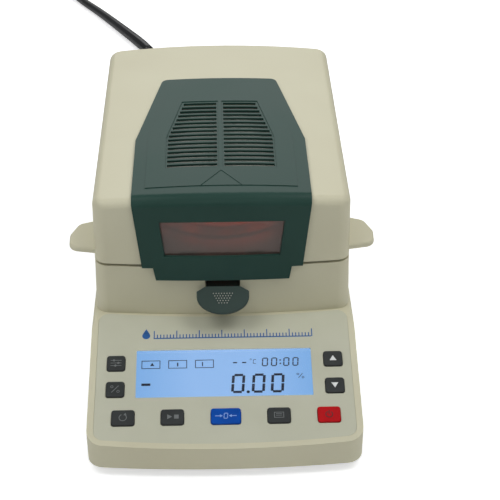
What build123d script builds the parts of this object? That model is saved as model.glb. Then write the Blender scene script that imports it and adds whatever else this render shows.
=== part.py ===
from build123d import *
import math
import os

# Bench moisture analyser: a base with a sloped console, a weighing chamber and a
# hinged heating hood. Millimetres. +Z up, the console faces -Y, +X is to the
# operator's right. The nodes are written with their origin on the bench, under the
# middle of the machine without its cord.

# Housing
BASE_WIDTH = 205.0
FRONT_Y = -195.0
REAR_Y = 196.5
BOW_RADIUS = 943.0
WALL = 2.6
SKIRT_Z = 7.4
LIP_Z = 27.33
SLOPE_DEG = 17.28
SHOULDER_Z = 62.6
CORNER_R = 13.0
EDGE_R = 3.0

# Upper block of the housing, under the hood
SEAM_INSET = 3.6
SEAM_WIDTH = BASE_WIDTH - 2 * SEAM_INSET
BLOCK_FLARE = 1.6
BLOCK_FRONT_Y = -76.1
BLOCK_CORNER_R = 11.0
DECK_Z = 107.2
SEAM_GAP = 2.4

# Hood
HOOD_FRONT_Y = -76.6
HOOD_HEIGHT = 58.4
HOOD_CROWN = 5.5
HOOD_DRAFT = 0.7
HOOD_LEAN_DEG = 2.1
HOOD_EDGE_R = 7.0
HOOD_WALL = 2.6
HOOD_Z = DECK_Z + SEAM_GAP
HOOD_TOP_Z = HOOD_Z + HOOD_HEIGHT

# Lifting ears
EAR_REACH = 20.0
EAR_THICKNESS = 5.0
EAR_Z = 116.5
EAR_FRONT_Y = -66.0
EAR_REAR_Y = -22.5
EAR_LENGTH = EAR_REAR_Y - EAR_FRONT_Y
EAR_CORNER_R = 8.0
EAR_EDGE_R = 1.9

# Bonnet over the hood
BONNET_PROUD = 2.0
SKIN_GAP = 0.1
BONNET_REAR_Y = 121.5
BONNET_REAR_HALF = 48.5
BONNET_WAIST_Y = 17.5
BONNET_WAIST_HALF = 68.0
BONNET_RIDGE_HALF = 68.0
BONNET_CORNER_R = 6.0
PLATEAU_INSET = 10.0
PLATEAU_RISE = 0.5
APRON_DEPTH = 9.0
APRON_LOW_HALF = 62.0
APRON_STEP_Z = 107.6
TONGUE_HALF = 53.5
TONGUE_LOW_HALF = 51.6
TONGUE_Z = 96.6

# Grille of two blocks of slots
SLOT_COUNT = 16
SLOT_FRONT_Y = -30.5
SLOT_PITCH = 6.72
SLOT_WIDTH = 4.2
SLOT_HALF = 41.8
SLOT_REAR_HALF = 30.0
SLOT_TAPER_Y = 18.0
CENTRE_RIB = 5.6
GRILLE_RECESS = 0.6
GRILLE_MARGIN = 1.4

# Sheet channel under the grille
BAFFLE_HALF = 50.0
BAFFLE_Z = 157.0
BAFFLE_TOP_Z = 163.2
BAFFLE_THICKNESS = 0.8
BAFFLE_LAP = 4.0

# Bare triangular label recess
LABEL_HALF = 15.9
LABEL_Y = -58.5
LABEL_HEIGHT = 22.6
LABEL_DEPTH = 0.4

# Window
WINDOW_HALF_TOP = 45.7
WINDOW_HALF_LOW = 43.0
WINDOW_TOP_Z = 146.5
WINDOW_LOW_Z = 119.8
REVEAL_TAPER_DEG = -18.0
GLASS_THICKNESS = 2.4
GLASS_LAP = 3.2
GLASS_SET_BACK = 0.7
GLASS_FIT = 0.5
CLIP_WIDTH = 14.0

# Console panel
PANEL_FRONT_Y = -190.6
PANEL_REAR_Y = -79.9
PANEL_SIDE = 5.0
PANEL_HALF = BASE_WIDTH / 2 - PANEL_SIDE
PANEL_CORNER_R = 8.0
PANEL_RECESS = 0.8
PANEL_FILM = 0.6
PANEL_FIT = 0.15

# Display
LCD_SIDE = 30.5
LCD_WIDTH = 2 * (PANEL_HALF - LCD_SIDE)
LCD_REAR_Y = -110.2
LCD_FRONT_Y = -151.3
LCD_WINDOW_THICKNESS = 1.9
LCD_LAP = 3.0
LCD_MODULE_THICKNESS = 3.6

# Keys: name, x as a share of the panel's half-width, y on the slope, width, length
KEY_ROW_Y = -168.5
KEY_PLAN = [
    ("key_set", -0.846, -121.6, 13.7, 13.6),
    ("key_unit", -0.846, -144.3, 13.7, 13.6),
    ("key_up", 0.857, -120.5, 14.2, 13.4),
    ("key_down", 0.857, -143.8, 14.2, 13.4),
    ("key_reset", -0.778, KEY_ROW_Y, 17.0, 13.3),
    ("key_start", -0.401, KEY_ROW_Y, 17.0, 13.3),
    ("key_tare", 0.007, KEY_ROW_Y, 22.2, 13.5),
    ("key_auto", 0.413, KEY_ROW_Y, 17.0, 13.3),
    ("key_power", 0.796, KEY_ROW_Y, 17.0, 13.3),
]
KEYS = [(name, share * PANEL_HALF, y, width, length) for name, share, y, width, length in KEY_PLAN]
KEY_FIT = 0.35
KEY_PROUD = 1.4
KEY_TRAVEL = 1.0
KEY_CORNER_R = 2.0
KEY_EDGE_R = 0.5
KEY_FLANGE = 1.0
KEY_REST_GAP = 0.3
SWITCH_SIZE = 6.0
SWITCH_HEIGHT = 2.4
PLUNGER_RADIUS = 1.6
PLUNGER_LENGTH = 0.8
BOARD_THICKNESS = 1.6
KEYPAD_MARGIN = 3.0
KEYPAD_REAR_MARGIN = 16.0
POST_RADIUS = 3.0
POST_INSET = 7.0
POST_REAR_Y = -98.0

# Weighing chamber
CHAMBER_Y = 26.0
DISH_RADIUS = 66.0
DISH_WALL = 1.0
DISH_FLOOR_Z = 74.0
DISH_FLANGE = 6.0
RING_OUTER = 60.0
RING_THICKNESS = 1.2
RING_HEIGHT = 9.0
PAN_RADIUS = 46.0
PAN_RIM = 3.5
PAN_THICKNESS = 0.8
PAN_FLOOR_Z = 88.4
PAN_DEPTH = 5.4
HOLDER_GAP = 1.0
HOLDER_OUTER = 56.0
HOLDER_Z = 86.0
HOLDER_THICKNESS = 3.0
NECK_HALF = 12.6
NOTCH_HALF = 13.8
NOTCH_LOW_HALF = 13.1
NOTCH_Z = 84.6

# Grip of the pan handler
GRIP_HALF = 20.3
GRIP_TOP_Y = -80.5
GRIP_TOP_Z = 92.5
GRIP_TOP_HALF = 13.0
GRIP_LENGTH = 22.2
GRIP_SHOULDER = 4.2
GRIP_SIDE = 8.2
GRIP_TILT_DEG = 40.0
GRIP_THICKNESS = 3.4

# Pan support and load cell
PILLAR_RADIUS = 3.0
PILLAR_HOLE_RADIUS = 6.0
ARM_REACH = 36.0
ARM_WIDTH = 5.0
ARM_THICKNESS = 2.0
CELL_LENGTH = 110.0
CELL_WIDTH = 14.0
CELL_HEIGHT = 20.0
CELL_Z = 34.0
BRACKET_THICKNESS = 4.0

# Heating parts in the hood
LAMP_RADIUS = 55.0
LAMP_TUBE_RADIUS = 5.0
LAMP_Z = 121.0
LAMP_GAP_DEG = 20.0
HOLDER_BLOCK = 13.0
HOLDER_WIDTH = 7.0
HOLDER_ARM = 6.0
LAMP_END_GAP = 0.16
PROBE_GAP = 2.5
PROBE_LENGTH = 44.0
PROBE_BLOCK = (10.0, 12.0)
REFLECTOR_RADIUS = 62.0
REFLECTOR_Z = 143.0
REFLECTOR_RISE = 9.0
REFLECTOR_THICKNESS = 0.8
REFLECTOR_VENT = 12.0
SHIELD_THICKNESS = 1.2
SHIELD_HOLE = 64.0
LEG_SPACE = 8.0
SHIELD_Z = 110.6
GUARD_RING_RADIUS = 58.0
GUARD_WIRE = 1.0
GUARD_PITCH = 14.0
PROBE_RADIUS = 1.5

# Hinge
HINGE_INSET = 3.6
HINGE_Y = REAR_Y - HINGE_INSET
HINGE_Z = 108.4
HINGE_X = 62.0
BARREL_RADIUS = 3.4
BARREL_GAP = 0.5
HINGE_PIN_RADIUS = 1.5
HINGE_FIT = 0.05
HOOD_KNUCKLE = 16.0
BASE_KNUCKLE = 8.0
KNUCKLE_GAP = 0.4
HINGE_LEAF = 1.6
LEAF_HEIGHT = 13.5
HOOD_LEAF_HEIGHT = 20.0
RELIEF_Z = 103.2

# Base plate, feet and what stands on them
TRAY_THICKNESS = 1.6
TRAY_INSET = 4.0
TRAY_SLOTS = 7
TRAY_SLOT_Y = -60.0
TRAY_SLOT_PITCH = 12.0
TRAY_SLOT_LENGTH = 70.0
TRAY_SLOT_WIDTH = 3.5
FOOT_RADIUS = 9.0
FOOT_X = BASE_WIDTH / 2 - 20.5
FOOT_Y = 160.0
SCREW_RADIUS = 1.5
SCREW_HEAD = 3.2
SCREW_HEAD_HEIGHT = 2.0
SCREW_LENGTH = 9.0
SCREW_X = BASE_WIDTH / 2 - 8.5
SCREW_Y = 130.0
BOSS_RADIUS = 4.0
BOSS_HEIGHT = 18.0
BOSS_RIB = 3.0
BOSS_BORE = 10.0
STANDOFF = 6.0
BOARD_SIZE = (74.0, 60.0)
BOARD_CENTRE = (33.0, 132.0)
BOARD_EDGE = 5.0
CHIP_SIZE = 20.0
CHIP_HEIGHT = 3.0
CAN_HEIGHT = 14.0
TRANSFORMER_SIZE = (52.0, 44.0, 40.0)
TRANSFORMER_CENTRE = (-40.0, 136.0)
TRANSFORMER_FOOT = 2.0

# Fan in the rear wall
FAN_X = 46.0
FAN_Z = 50.0
FAN_SIZE = 40.0
FAN_DEPTH = 12.0
FAN_MOUNT = 2.0
BLADE_THICKNESS = 1.0
BLADE_PITCH_DEG = 40.0
FAN_BORE = 19.0
HUB_RADIUS = 8.0
SHAFT_RADIUS = 1.5
SHAFT_FIT = 0.05
BLADE_COUNT = 7
BLADE_TIP_GAP = 0.8
VENT_SLOTS = 5

# Rear sockets
INLET_X = -48.0
INLET_Z = 42.0
INLET_SIZE = (30.0, 22.0)
INLET_DEPTH = 22.0
INLET_FLANGE = 2.0
INLET_WALL = 2.0
SOCKET_DEPTH = 16.0
PIN_LENGTH = 14.0
PIN_PITCH = 7.0
PIN_STEP = 1.5
PORT_X = -2.0
PORT_Z = 42.0
PORT_SIZE = (31.0, 12.5)
PORT_PLATE = 1.2
PORT_SHELL = (17.0, 8.5)
PORT_WALL = 0.7
PORT_DEPTH = 8.4
PORT_REACH = 5.9
NUT_X = 12.5
NUT_RADIUS = 2.6

# Cord
CORD_RADIUS = 4.25
PLUG_LENGTH = 26.0
CONNECTOR_BODY = (24.0, 17.0, 24.0)
BOOT_LENGTH = 18.0
PLUG_BODY = (24.0, 13.0)
PLUG_CORNER_R = 5.0
PLUG_PIN_X = 9.5
PLUG_PIN_RADIUS = 2.2
PLUG_PIN_LENGTH = 19.0
BOOT_RADIUS = 6.6
COIL_X = 10.0
COIL_Y = 400.0
COIL_RADIUS = 46.0
COIL_TURNS_WIDE = 2
COIL_TURNS_HIGH = 2
SLEEVE_RADIUS = 6.55
LEAD_ROUTE = [
    (-48.0, 242.0, 42.0),
    (-48.0, 275.0, 37.0),
    (-40.0, 304.0, 22.0),
    (-20.0, 329.0, 8.0),
    (7.0, 342.0, 4.5),
    (35.0, 356.5, 4.5),
]
RUN_ROUTE = [
    (10.0, 450.3, 4.5),
    (-26.0, 455.0, 4.5),
    (-52.0, 478.0, 4.5),
    (-71.0, 508.0, 4.8),
    (-92.0, 545.0, 6.7),
]
SLEEVE_END = (-175.0, 682.0, 4.6)
PLUG_POINT = (-193.0, 711.0, 6.9)

# The modelling frame's y at the middle of the machine, its data socket included
ORIGIN_Y = (FRONT_Y + REAR_Y + PORT_REACH) / 2

LEAN = math.radians(HOOD_LEAN_DEG)
SLOPE = math.radians(SLOPE_DEG)
HOOD_SIDE_Z = HOOD_TOP_Z - HOOD_CROWN


def console_z(y):
    """Height of the console's outer surface at a given y."""
    return LIP_Z + (y - FRONT_Y) * math.tan(SLOPE)


def console_plane(x, y, depth=0.0):
    """Plane on the sloped console at x, y, sunk by depth; its y runs up the slope."""
    normal = (0, -math.sin(SLOPE), math.cos(SLOPE))
    origin = (x, y - depth * normal[1], console_z(y) - depth * normal[2])
    return Plane(origin=origin, x_dir=(1, 0, 0), z_dir=normal)


def bow(half):
    """Setback of the bowed front at a distance from its middle."""
    return BOW_RADIUS - math.sqrt(BOW_RADIUS**2 - half**2)


def bowed_plan(half, y_front, y_rear):
    """Plan outline with a bowed front edge, at z 0."""
    y_corner = y_front + bow(half)
    front = ThreePointArc((-half, y_corner), (0, y_front), (half, y_corner))
    rest = Polyline((half, y_corner), (half, y_rear), (-half, y_rear), (-half, y_corner))
    return make_face(front + rest)


def upright(form, least):
    """Nearly vertical edges of at least a given length."""
    found = []
    for edge in form.edges():
        low, high = edge @ 0, edge @ 1
        if abs(high.Z - low.Z) > max(least, 0.9 * edge.length):
            found.append(edge)
    return found


def front_prism(points, crown_z, y_front, y_rear):
    """Extrusion along Y of a front-view outline; crown_z lifts its last side into an arc."""
    plane = Plane(origin=(0, y_rear, 0), x_dir=(1, 0, 0), z_dir=(0, -1, 0))
    sides = Polyline(*points)
    first, last = points[0], points[-1]
    if crown_z is None:
        top = Line(last, first)
    else:
        top = ThreePointArc(last, (0, crown_z), first)
    return extrude(plane * make_face(sides + top), amount=y_rear - y_front)


def hood_form(inset=0.0, z_low=HOOD_Z):
    """Crowned and drafted outer form of the hood, moved inwards by inset."""
    half_low = SEAM_WIDTH / 2 - inset
    half_top = half_low - HOOD_DRAFT
    side_z = HOOD_SIDE_Z - inset
    reach = REAR_Y - HOOD_FRONT_Y + 60
    plan = bowed_plan(SEAM_WIDTH, 0, reach)
    leaning = Pos(0, HOOD_FRONT_Y + inset, HOOD_Z) * Rot(-HOOD_LEAN_DEG, 0, 0)
    leaning = leaning * Pos(0, 0, -40) * extrude(plan, amount=140)
    outline = [(-half_top, side_z), (-half_low, z_low), (half_low, z_low), (half_top, side_z)]
    prism = front_prism(outline, HOOD_TOP_Z - inset, HOOD_FRONT_Y - 20, REAR_Y - inset)
    form = leaning & prism
    form = fillet(upright(form, 30), BLOCK_CORNER_R - inset)
    top = form.faces().sort_by(Axis.Z)[-1]
    return fillet(top.edges(), max(HOOD_EDGE_R - inset, 1.0))


def block_form(inset=0.0):
    """Upper block of the housing, under the hood."""
    half_top = SEAM_WIDTH / 2 - inset
    half_low = half_top + BLOCK_FLARE
    plan = bowed_plan(BASE_WIDTH, BLOCK_FRONT_Y + inset, REAR_Y - inset)
    column = Pos(0, 0, SHOULDER_Z - 12) * extrude(plan, amount=DECK_Z)
    z_low = SHOULDER_Z - 10
    z_top = DECK_Z - inset
    outline = [(-half_top, z_top), (-half_low, z_low), (half_low, z_low), (half_top, z_top)]
    form = column & front_prism(outline, None, BLOCK_FRONT_Y - 20, REAR_Y - inset)
    return fillet(upright(form, 30), BLOCK_CORNER_R)


def base_form(inset=0.0, z_low=SKIRT_Z):
    """Lower body with the console slope, moved inwards by inset."""
    half = BASE_WIDTH / 2 - inset
    y_front, y_rear = FRONT_Y + inset, REAR_Y - inset
    drop = inset / math.cos(SLOPE)
    y_top = FRONT_Y + (SHOULDER_Z - LIP_Z) / math.tan(SLOPE)
    shoulder_z = console_z(y_top) - inset
    slope_end = y_top + (drop - inset) / math.tan(SLOPE)
    side = Polyline(
        (y_front - 10, z_low), (y_rear, z_low), (y_rear, shoulder_z), (slope_end, shoulder_z),
        (y_front - 10, console_z(y_front - 10) - drop), (y_front - 10, z_low),
    )
    wedge = extrude(Plane.YZ * make_face(side), amount=half, both=True)
    plan = bowed_plan(half, y_front, y_rear + 5)
    form = wedge & (Pos(0, 0, z_low - 5) * extrude(plan, amount=SHOULDER_Z + 20))
    return fillet(upright(form, 8), CORNER_R - inset)


def slope_prism(x, y, width, length, radius, top, bottom):
    """Rounded prism square to the console, from height top down to height bottom."""
    plane = console_plane(x, y, -top)
    return extrude(plane * RectangleRounded(width, length, radius), amount=bottom - top)


def panel_outline(fit=0.0):
    """Outline of the console film, bowed front and back like the housing."""
    half = PANEL_HALF - fit
    stretch = 1 / math.cos(SLOPE)
    low = fit
    high = (PANEL_REAR_Y - PANEL_FRONT_Y) * stretch - fit
    sag = bow(half) * stretch
    front = ThreePointArc((-half, low + sag), (0, low), (half, low + sag))
    rear = ThreePointArc((half, high + sag), (0, high), (-half, high + sag))
    sides = Line((half, low + sag), (half, high + sag)) + Line((-half, high + sag), (-half, low + sag))
    outline = make_face(front + sides + rear)
    return fillet(outline.vertices(), PANEL_CORNER_R - fit)


def lcd_centre():
    """Middle of the display in plan, and its length along the slope."""
    length = (LCD_REAR_Y - LCD_FRONT_Y) / math.cos(SLOPE)
    return (LCD_REAR_Y + LCD_FRONT_Y) / 2, length


def key_holes(top, bottom):
    """Clearance prisms for the nine keys."""
    holes = []
    for _, x, y, width, length in KEYS:
        holes.append(slope_prism(x, y, width + 2 * KEY_FIT, length + 2 * KEY_FIT,
                                 KEY_CORNER_R + KEY_FIT, top, bottom))
    return holes


def notch_form(y_rear):
    """Slot through the chamber wall for the neck of the pan handler."""
    outline = [(-NOTCH_HALF - 0.8, DECK_Z + 5), (-NOTCH_LOW_HALF, NOTCH_Z),
               (NOTCH_LOW_HALF, NOTCH_Z), (NOTCH_HALF + 0.8, DECK_Z + 5)]
    return front_prism(outline, None, BLOCK_FRONT_Y - 15, y_rear)


def hinge_stations():
    """Middles of the two hinges along X."""
    return [-HINGE_X, HINGE_X]


def x_cylinder(x, y, z, radius, length):
    """Cylinder along X, centred at a point."""
    return Pos(x, y, z) * Rot(0, 90, 0) * Cylinder(radius, length)


def hinge_room():
    """Clearance round both hinge barrels."""
    width = HOOD_KNUCKLE + 2 * BASE_KNUCKLE + 4 * KNUCKLE_GAP
    room = []
    for x in hinge_stations():
        room.append(x_cylinder(x, HINGE_Y, HINGE_Z, BARREL_RADIUS + BARREL_GAP, width))
        room.append(Pos(x, HINGE_Y + BARREL_RADIUS + 5, HINGE_Z) * Box(width, 10, 2 * BARREL_RADIUS))
    return room


def rear_openings():
    """Cuts in the rear wall for the inlet, the port and the fan."""
    cuts = []
    for x, z, (width, height) in ((INLET_X, INLET_Z, INLET_SIZE), (PORT_X, PORT_Z, PORT_SIZE)):
        cuts.append(Pos(x, REAR_Y, z) * Box(width + 0.4, 4 * WALL, height + 0.4))
    slot_pitch = FAN_SIZE / (VENT_SLOTS + 1)
    for index in range(VENT_SLOTS):
        z = FAN_Z + (index - (VENT_SLOTS - 1) / 2) * slot_pitch
        cuts.append(Pos(FAN_X, REAR_Y, z) * Box(FAN_SIZE - 6, 4 * WALL, slot_pitch / 2))
    return cuts


def screw_places():
    """Plan positions of the case screws."""
    return [(x, y) for x in (-SCREW_X, SCREW_X) for y in (-SCREW_Y, 0, SCREW_Y)]


def hanging(radius, length):
    """Cylinder that hangs down from its plane."""
    return Cylinder(radius, length, align=(Align.CENTER, Align.CENTER, Align.MAX))


def case_bosses():
    """Bosses on ribs from the side walls that take the case screws."""
    bosses = []
    middle_z = SKIRT_Z + BOSS_HEIGHT / 2
    wall_x = BASE_WIDTH / 2 - WALL / 2
    for x, y in screw_places():
        side = math.copysign(1, x)
        boss = Pos(x, y, middle_z) * Cylinder(BOSS_RADIUS, BOSS_HEIGHT)
        rib = Pos(side * (SCREW_X + wall_x) / 2, y, middle_z) * Box(wall_x - SCREW_X, BOSS_RIB, BOSS_HEIGHT)
        bore = Pos(x, y, SKIRT_Z + BOSS_BORE / 2) * Cylinder(SCREW_RADIUS + SHAFT_FIT, BOSS_BORE)
        bosses.append(boss + rib - bore)
    return bosses


def board_posts():
    """Places of the keypad board's bosses, between keys in front and behind the display."""
    x = {key_plan[0]: key_plan[1] for key_plan in KEYS}
    left = (x["key_reset"] + x["key_start"]) / 2
    right = (x["key_auto"] + x["key_power"]) / 2
    rear_x = LCD_WIDTH / 2 - POST_INSET
    return [(left, KEY_ROW_Y), (right, KEY_ROW_Y), (-rear_x, POST_REAR_Y), (rear_x, POST_REAR_Y)]


def key_depth():
    """Depth of a key's underside at rest, below the console's outer surface."""
    return WALL + KEY_REST_GAP + KEY_FLANGE


def board_depth():
    """Depth of the keypad board's top face."""
    return key_depth() + KEY_TRAVEL + KEY_REST_GAP + SWITCH_HEIGHT


def upper_housing():
    """Moulded housing with the console, the deck and the chamber opening."""
    outer = fillet(base_form().faces().sort_by(Axis.Z)[-1].edges(), EDGE_R) + block_form()
    inner = base_form(WALL, SKIRT_Z - 1) + block_form(WALL)
    shell = outer - inner
    for boss in case_bosses():
        shell += boss
    for x, y in board_posts():
        length = board_depth() - WALL + 0.5
        shell += console_plane(x, y, WALL - 0.5) * hanging(POST_RADIUS, length)
    shell -= extrude(console_plane(0, PANEL_FRONT_Y, PANEL_RECESS) * panel_outline(), amount=10)
    lcd_y, lcd_length = lcd_centre()
    shell -= slope_prism(0, lcd_y, LCD_WIDTH + 1, lcd_length + 1, 1.0, 1, -WALL - 1)
    shell -= key_holes(1, -WALL - 1)
    shell -= Pos(0, CHAMBER_Y, DECK_Z) * Cylinder(DISH_RADIUS + 0.4, 20)
    shell -= Pos(0, CHAMBER_Y, DECK_Z) * Cylinder(DISH_RADIUS + DISH_FLANGE + 0.4, 2 * DISH_WALL + 0.1)
    shell -= notch_form(CHAMBER_Y)
    shell -= Pos(0, REAR_Y, (RELIEF_Z + DECK_Z + 4) / 2) * Box(
        BASE_WIDTH + 10, 2 * (REAR_Y - HINGE_Y + BARREL_RADIUS + BARREL_GAP), DECK_Z + 4 - RELIEF_Z)
    shell -= hinge_room()
    shell -= rear_openings()
    return shell


def front_panel():
    """Printed film in the console recess, cut out for the display and keys."""
    plane = console_plane(0, PANEL_FRONT_Y, PANEL_RECESS)
    film = extrude(plane * panel_outline(PANEL_FIT), amount=PANEL_FILM)
    lcd_y, lcd_length = lcd_centre()
    film -= slope_prism(0, lcd_y, LCD_WIDTH, lcd_length, 0.6, 1, -WALL)
    film -= key_holes(1, -WALL)
    return film


def lcd_window():
    """Clear window that fills the display cut-out."""
    lcd_y, lcd_length = lcd_centre()
    top = PANEL_FILM - PANEL_RECESS - 0.1
    return slope_prism(0, lcd_y, LCD_WIDTH - 0.2, lcd_length - 0.2, 0.5, top, top - LCD_WINDOW_THICKNESS)


def lcd_module():
    """Display glass and its frame, against the underside of the console."""
    lcd_y, lcd_length = lcd_centre()
    top = -WALL - 0.1
    width, length = LCD_WIDTH + 2 * LCD_LAP, lcd_length + 2 * LCD_LAP
    return slope_prism(0, lcd_y, width, length, 1.0, top, top - LCD_MODULE_THICKNESS)


def key(x, y, width, length):
    """Key cap with a flange that stops it under the console."""
    cap_top = KEY_PROUD - PANEL_RECESS + PANEL_FILM
    under = -key_depth()
    cap = slope_prism(x, y, width, length, KEY_CORNER_R, cap_top, under)
    top = cap.faces().sort_by(Axis((0, 0, 0), (0, -math.sin(SLOPE), math.cos(SLOPE))))[-1]
    cap = fillet(top.edges(), KEY_EDGE_R)
    flange = slope_prism(x, y, width + 2, length + 2, KEY_CORNER_R, under + KEY_FLANGE, under)
    return cap + flange


def keypad_board():
    """Board under the keys, on the console's posts."""
    depth = -board_depth()
    front, rear = PANEL_FRONT_Y + KEYPAD_REAR_MARGIN / 2, PANEL_REAR_Y - KEYPAD_REAR_MARGIN / 2
    length = (rear - front) / math.cos(SLOPE)
    width = 2 * (PANEL_HALF - KEYPAD_MARGIN)
    return slope_prism(0, (front + rear) / 2, width, length, 2.0, depth, depth - BOARD_THICKNESS)


def key_switches():
    """A push switch under each key."""
    top = SWITCH_HEIGHT - board_depth()
    switches = []
    for _, x, y, _, _ in KEYS:
        body = slope_prism(x, y, SWITCH_SIZE, SWITCH_SIZE, 0.5, top - PLUNGER_LENGTH, -board_depth())
        plunger = console_plane(x, y, -top) * hanging(PLUNGER_RADIUS, PLUNGER_LENGTH)
        switches.append(body + plunger)
    return switches


def base_tray():
    """Pressed steel plate that closes the underside."""
    plan = bowed_plan(BASE_WIDTH / 2 - TRAY_INSET, FRONT_Y + TRAY_INSET, REAR_Y - TRAY_INSET)
    plan = fillet(plan.vertices(), CORNER_R - TRAY_INSET)
    plate = Pos(0, 0, SKIRT_Z - TRAY_THICKNESS) * extrude(plan, amount=TRAY_THICKNESS)
    for x, y in screw_places():
        plate -= Pos(x, y, SKIRT_Z) * Cylinder(SCREW_RADIUS + 0.2, 10)
    for index in range(TRAY_SLOTS):
        slot = Box(TRAY_SLOT_LENGTH, TRAY_SLOT_WIDTH, 4 * TRAY_THICKNESS)
        plate -= Pos(0, TRAY_SLOT_Y + index * TRAY_SLOT_PITCH, SKIRT_Z) * slot
    return plate


def rubber_feet():
    """Four rubber feet under the plate."""
    height = SKIRT_Z - TRAY_THICKNESS
    feet = []
    for x in (-FOOT_X, FOOT_X):
        for y in (-FOOT_Y, FOOT_Y):
            foot = Pos(x, y, height / 2) * Cone(FOOT_RADIUS - 1.2, FOOT_RADIUS, height)
            feet.append(foot - Pos(x, y, 0) * Cylinder(3.0, 4))
    return feet


def case_screws():
    """Screws from below into the housing's bosses."""
    screws = []
    under = SKIRT_Z - TRAY_THICKNESS
    for x, y in screw_places():
        head = Pos(x, y, under - SCREW_HEAD_HEIGHT / 2) * Cylinder(SCREW_HEAD, SCREW_HEAD_HEIGHT)
        shank = Pos(x, y, under + SCREW_LENGTH / 2) * Cylinder(SCREW_RADIUS, SCREW_LENGTH)
        slot = Pos(x, y, under - SCREW_HEAD_HEIGHT) * Box(1.2 * SCREW_HEAD, 0.8, 0.7 * SCREW_HEAD_HEIGHT)
        screws.append(head + shank - slot)
    return screws


def chamber_dish():
    """Pressed metal dish that lines the weighing chamber."""
    outer = DISH_RADIUS
    flange = outer + DISH_FLANGE
    inner = outer - DISH_WALL
    points = [
        (PILLAR_HOLE_RADIUS, DISH_FLOOR_Z), (outer, DISH_FLOOR_Z), (outer, DECK_Z - DISH_WALL),
        (flange, DECK_Z - DISH_WALL), (flange, DECK_Z), (inner, DECK_Z),
        (inner, DISH_FLOOR_Z + DISH_WALL), (PILLAR_HOLE_RADIUS, DISH_FLOOR_Z + DISH_WALL),
    ]
    section = Plane.XZ * make_face(Polyline(*points, close=True))
    dish = Pos(0, CHAMBER_Y, 0) * revolve(section, Axis.Z)
    return dish - notch_form(CHAMBER_Y)


def wind_ring():
    """Draught shield that stands round the pan on the dish floor."""
    z = DISH_FLOOR_Z + DISH_WALL
    ring = Cylinder(RING_OUTER, RING_HEIGHT) - Cylinder(RING_OUTER - RING_THICKNESS, RING_HEIGHT)
    return Pos(0, CHAMBER_Y, z + RING_HEIGHT / 2 + 0.05) * ring


def sample_pan():
    """Pressed aluminium pan with a rolled rim."""
    inner = PAN_RADIUS - PAN_THICKNESS
    top = PAN_FLOOR_Z + PAN_DEPTH
    points = [
        (0, PAN_FLOOR_Z), (PAN_RADIUS - 1, PAN_FLOOR_Z), (PAN_RADIUS, PAN_FLOOR_Z + 1),
        (PAN_RADIUS, top - PAN_THICKNESS), (PAN_RADIUS + PAN_RIM, top - PAN_THICKNESS),
        (PAN_RADIUS + PAN_RIM, top), (inner, top), (inner, PAN_FLOOR_Z + 1.2),
        (inner - 0.6, PAN_FLOOR_Z + PAN_THICKNESS), (0, PAN_FLOOR_Z + PAN_THICKNESS),
    ]
    section = Plane.XZ * make_face(Polyline(*points, close=True))
    return Pos(0, CHAMBER_Y, 0) * revolve(section, Axis.Z)


def grip_plane():
    """Plane of the grip's top face; its y runs up the grip."""
    tilt = math.radians(GRIP_TILT_DEG)
    return Plane(origin=(0, GRIP_TOP_Y, GRIP_TOP_Z), x_dir=(1, 0, 0),
                 z_dir=(0, -math.sin(tilt), math.cos(tilt)))


def grip():
    """Tongue-shaped grip: shoulders, short straight sides and a half-round tip."""
    shoulders = Polyline((-GRIP_HALF, -GRIP_SIDE), (-GRIP_HALF, -GRIP_SHOULDER), (-GRIP_TOP_HALF, 0),
                         (GRIP_TOP_HALF, 0), (GRIP_HALF, -GRIP_SHOULDER), (GRIP_HALF, -GRIP_SIDE))
    tip = EllipticalCenterArc((0, -GRIP_SIDE), GRIP_HALF, GRIP_LENGTH - GRIP_SIDE, 180, arc_size=180)
    outline = make_face(shoulders + tip)
    plate = extrude(grip_plane() * outline, amount=-GRIP_THICKNESS)
    return fillet(plate.faces().sort_by(Axis.Y)[0].edges() + plate.faces().sort_by(Axis.Z)[-1].edges(), 0.8)


def pan_handler():
    """Ring that carries the pan, its neck through the notch, and the grip."""
    inner = PAN_RADIUS + HOLDER_GAP
    ring = Cylinder(HOLDER_OUTER, HOLDER_THICKNESS) - Cylinder(inner, HOLDER_THICKNESS)
    middle_z = HOLDER_Z + HOLDER_THICKNESS / 2
    ring = Pos(0, CHAMBER_Y, middle_z) * ring
    neck_front = GRIP_TOP_Y - 1.0
    neck_rear = CHAMBER_Y - (inner + HOLDER_OUTER) / 2
    neck = Pos(0, (neck_front + neck_rear) / 2, middle_z) * Box(
        2 * NECK_HALF, neck_rear - neck_front, HOLDER_THICKNESS)
    return ring + neck + grip()


def pan_support():
    """Pillar with three arms that carries the pan on the load cell."""
    top = PAN_FLOOR_Z - 0.1
    arm_z = top - ARM_THICKNESS / 2
    foot_z = CELL_Z + CELL_HEIGHT
    pillar = Pos(0, CHAMBER_Y, (top + foot_z) / 2) * Cylinder(PILLAR_RADIUS, top - foot_z)
    hub = Pos(0, CHAMBER_Y, arm_z) * Cylinder(PILLAR_RADIUS + 4, ARM_THICKNESS)
    support = pillar + hub
    for angle in (90, 210, 330):
        arm = Pos(ARM_REACH / 2, 0, 0) * Box(ARM_REACH, ARM_WIDTH, ARM_THICKNESS)
        support += Pos(0, CHAMBER_Y, arm_z) * Rot(0, 0, angle) * arm
    return support


def load_cell():
    """Aluminium beam with the relieved middle of a parallel guide."""
    length_y = CHAMBER_Y + 10 - CELL_LENGTH / 2
    z = CELL_Z + CELL_HEIGHT / 2
    beam = Pos(0, length_y, z) * Box(CELL_WIDTH, CELL_LENGTH, CELL_HEIGHT)
    for offset in (-12, 12):
        beam -= x_cylinder(0, length_y + offset, z, 6.5, CELL_WIDTH + 2)
    beam -= Pos(0, length_y, z) * Box(CELL_WIDTH + 2, 24, 3)
    return beam


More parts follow.
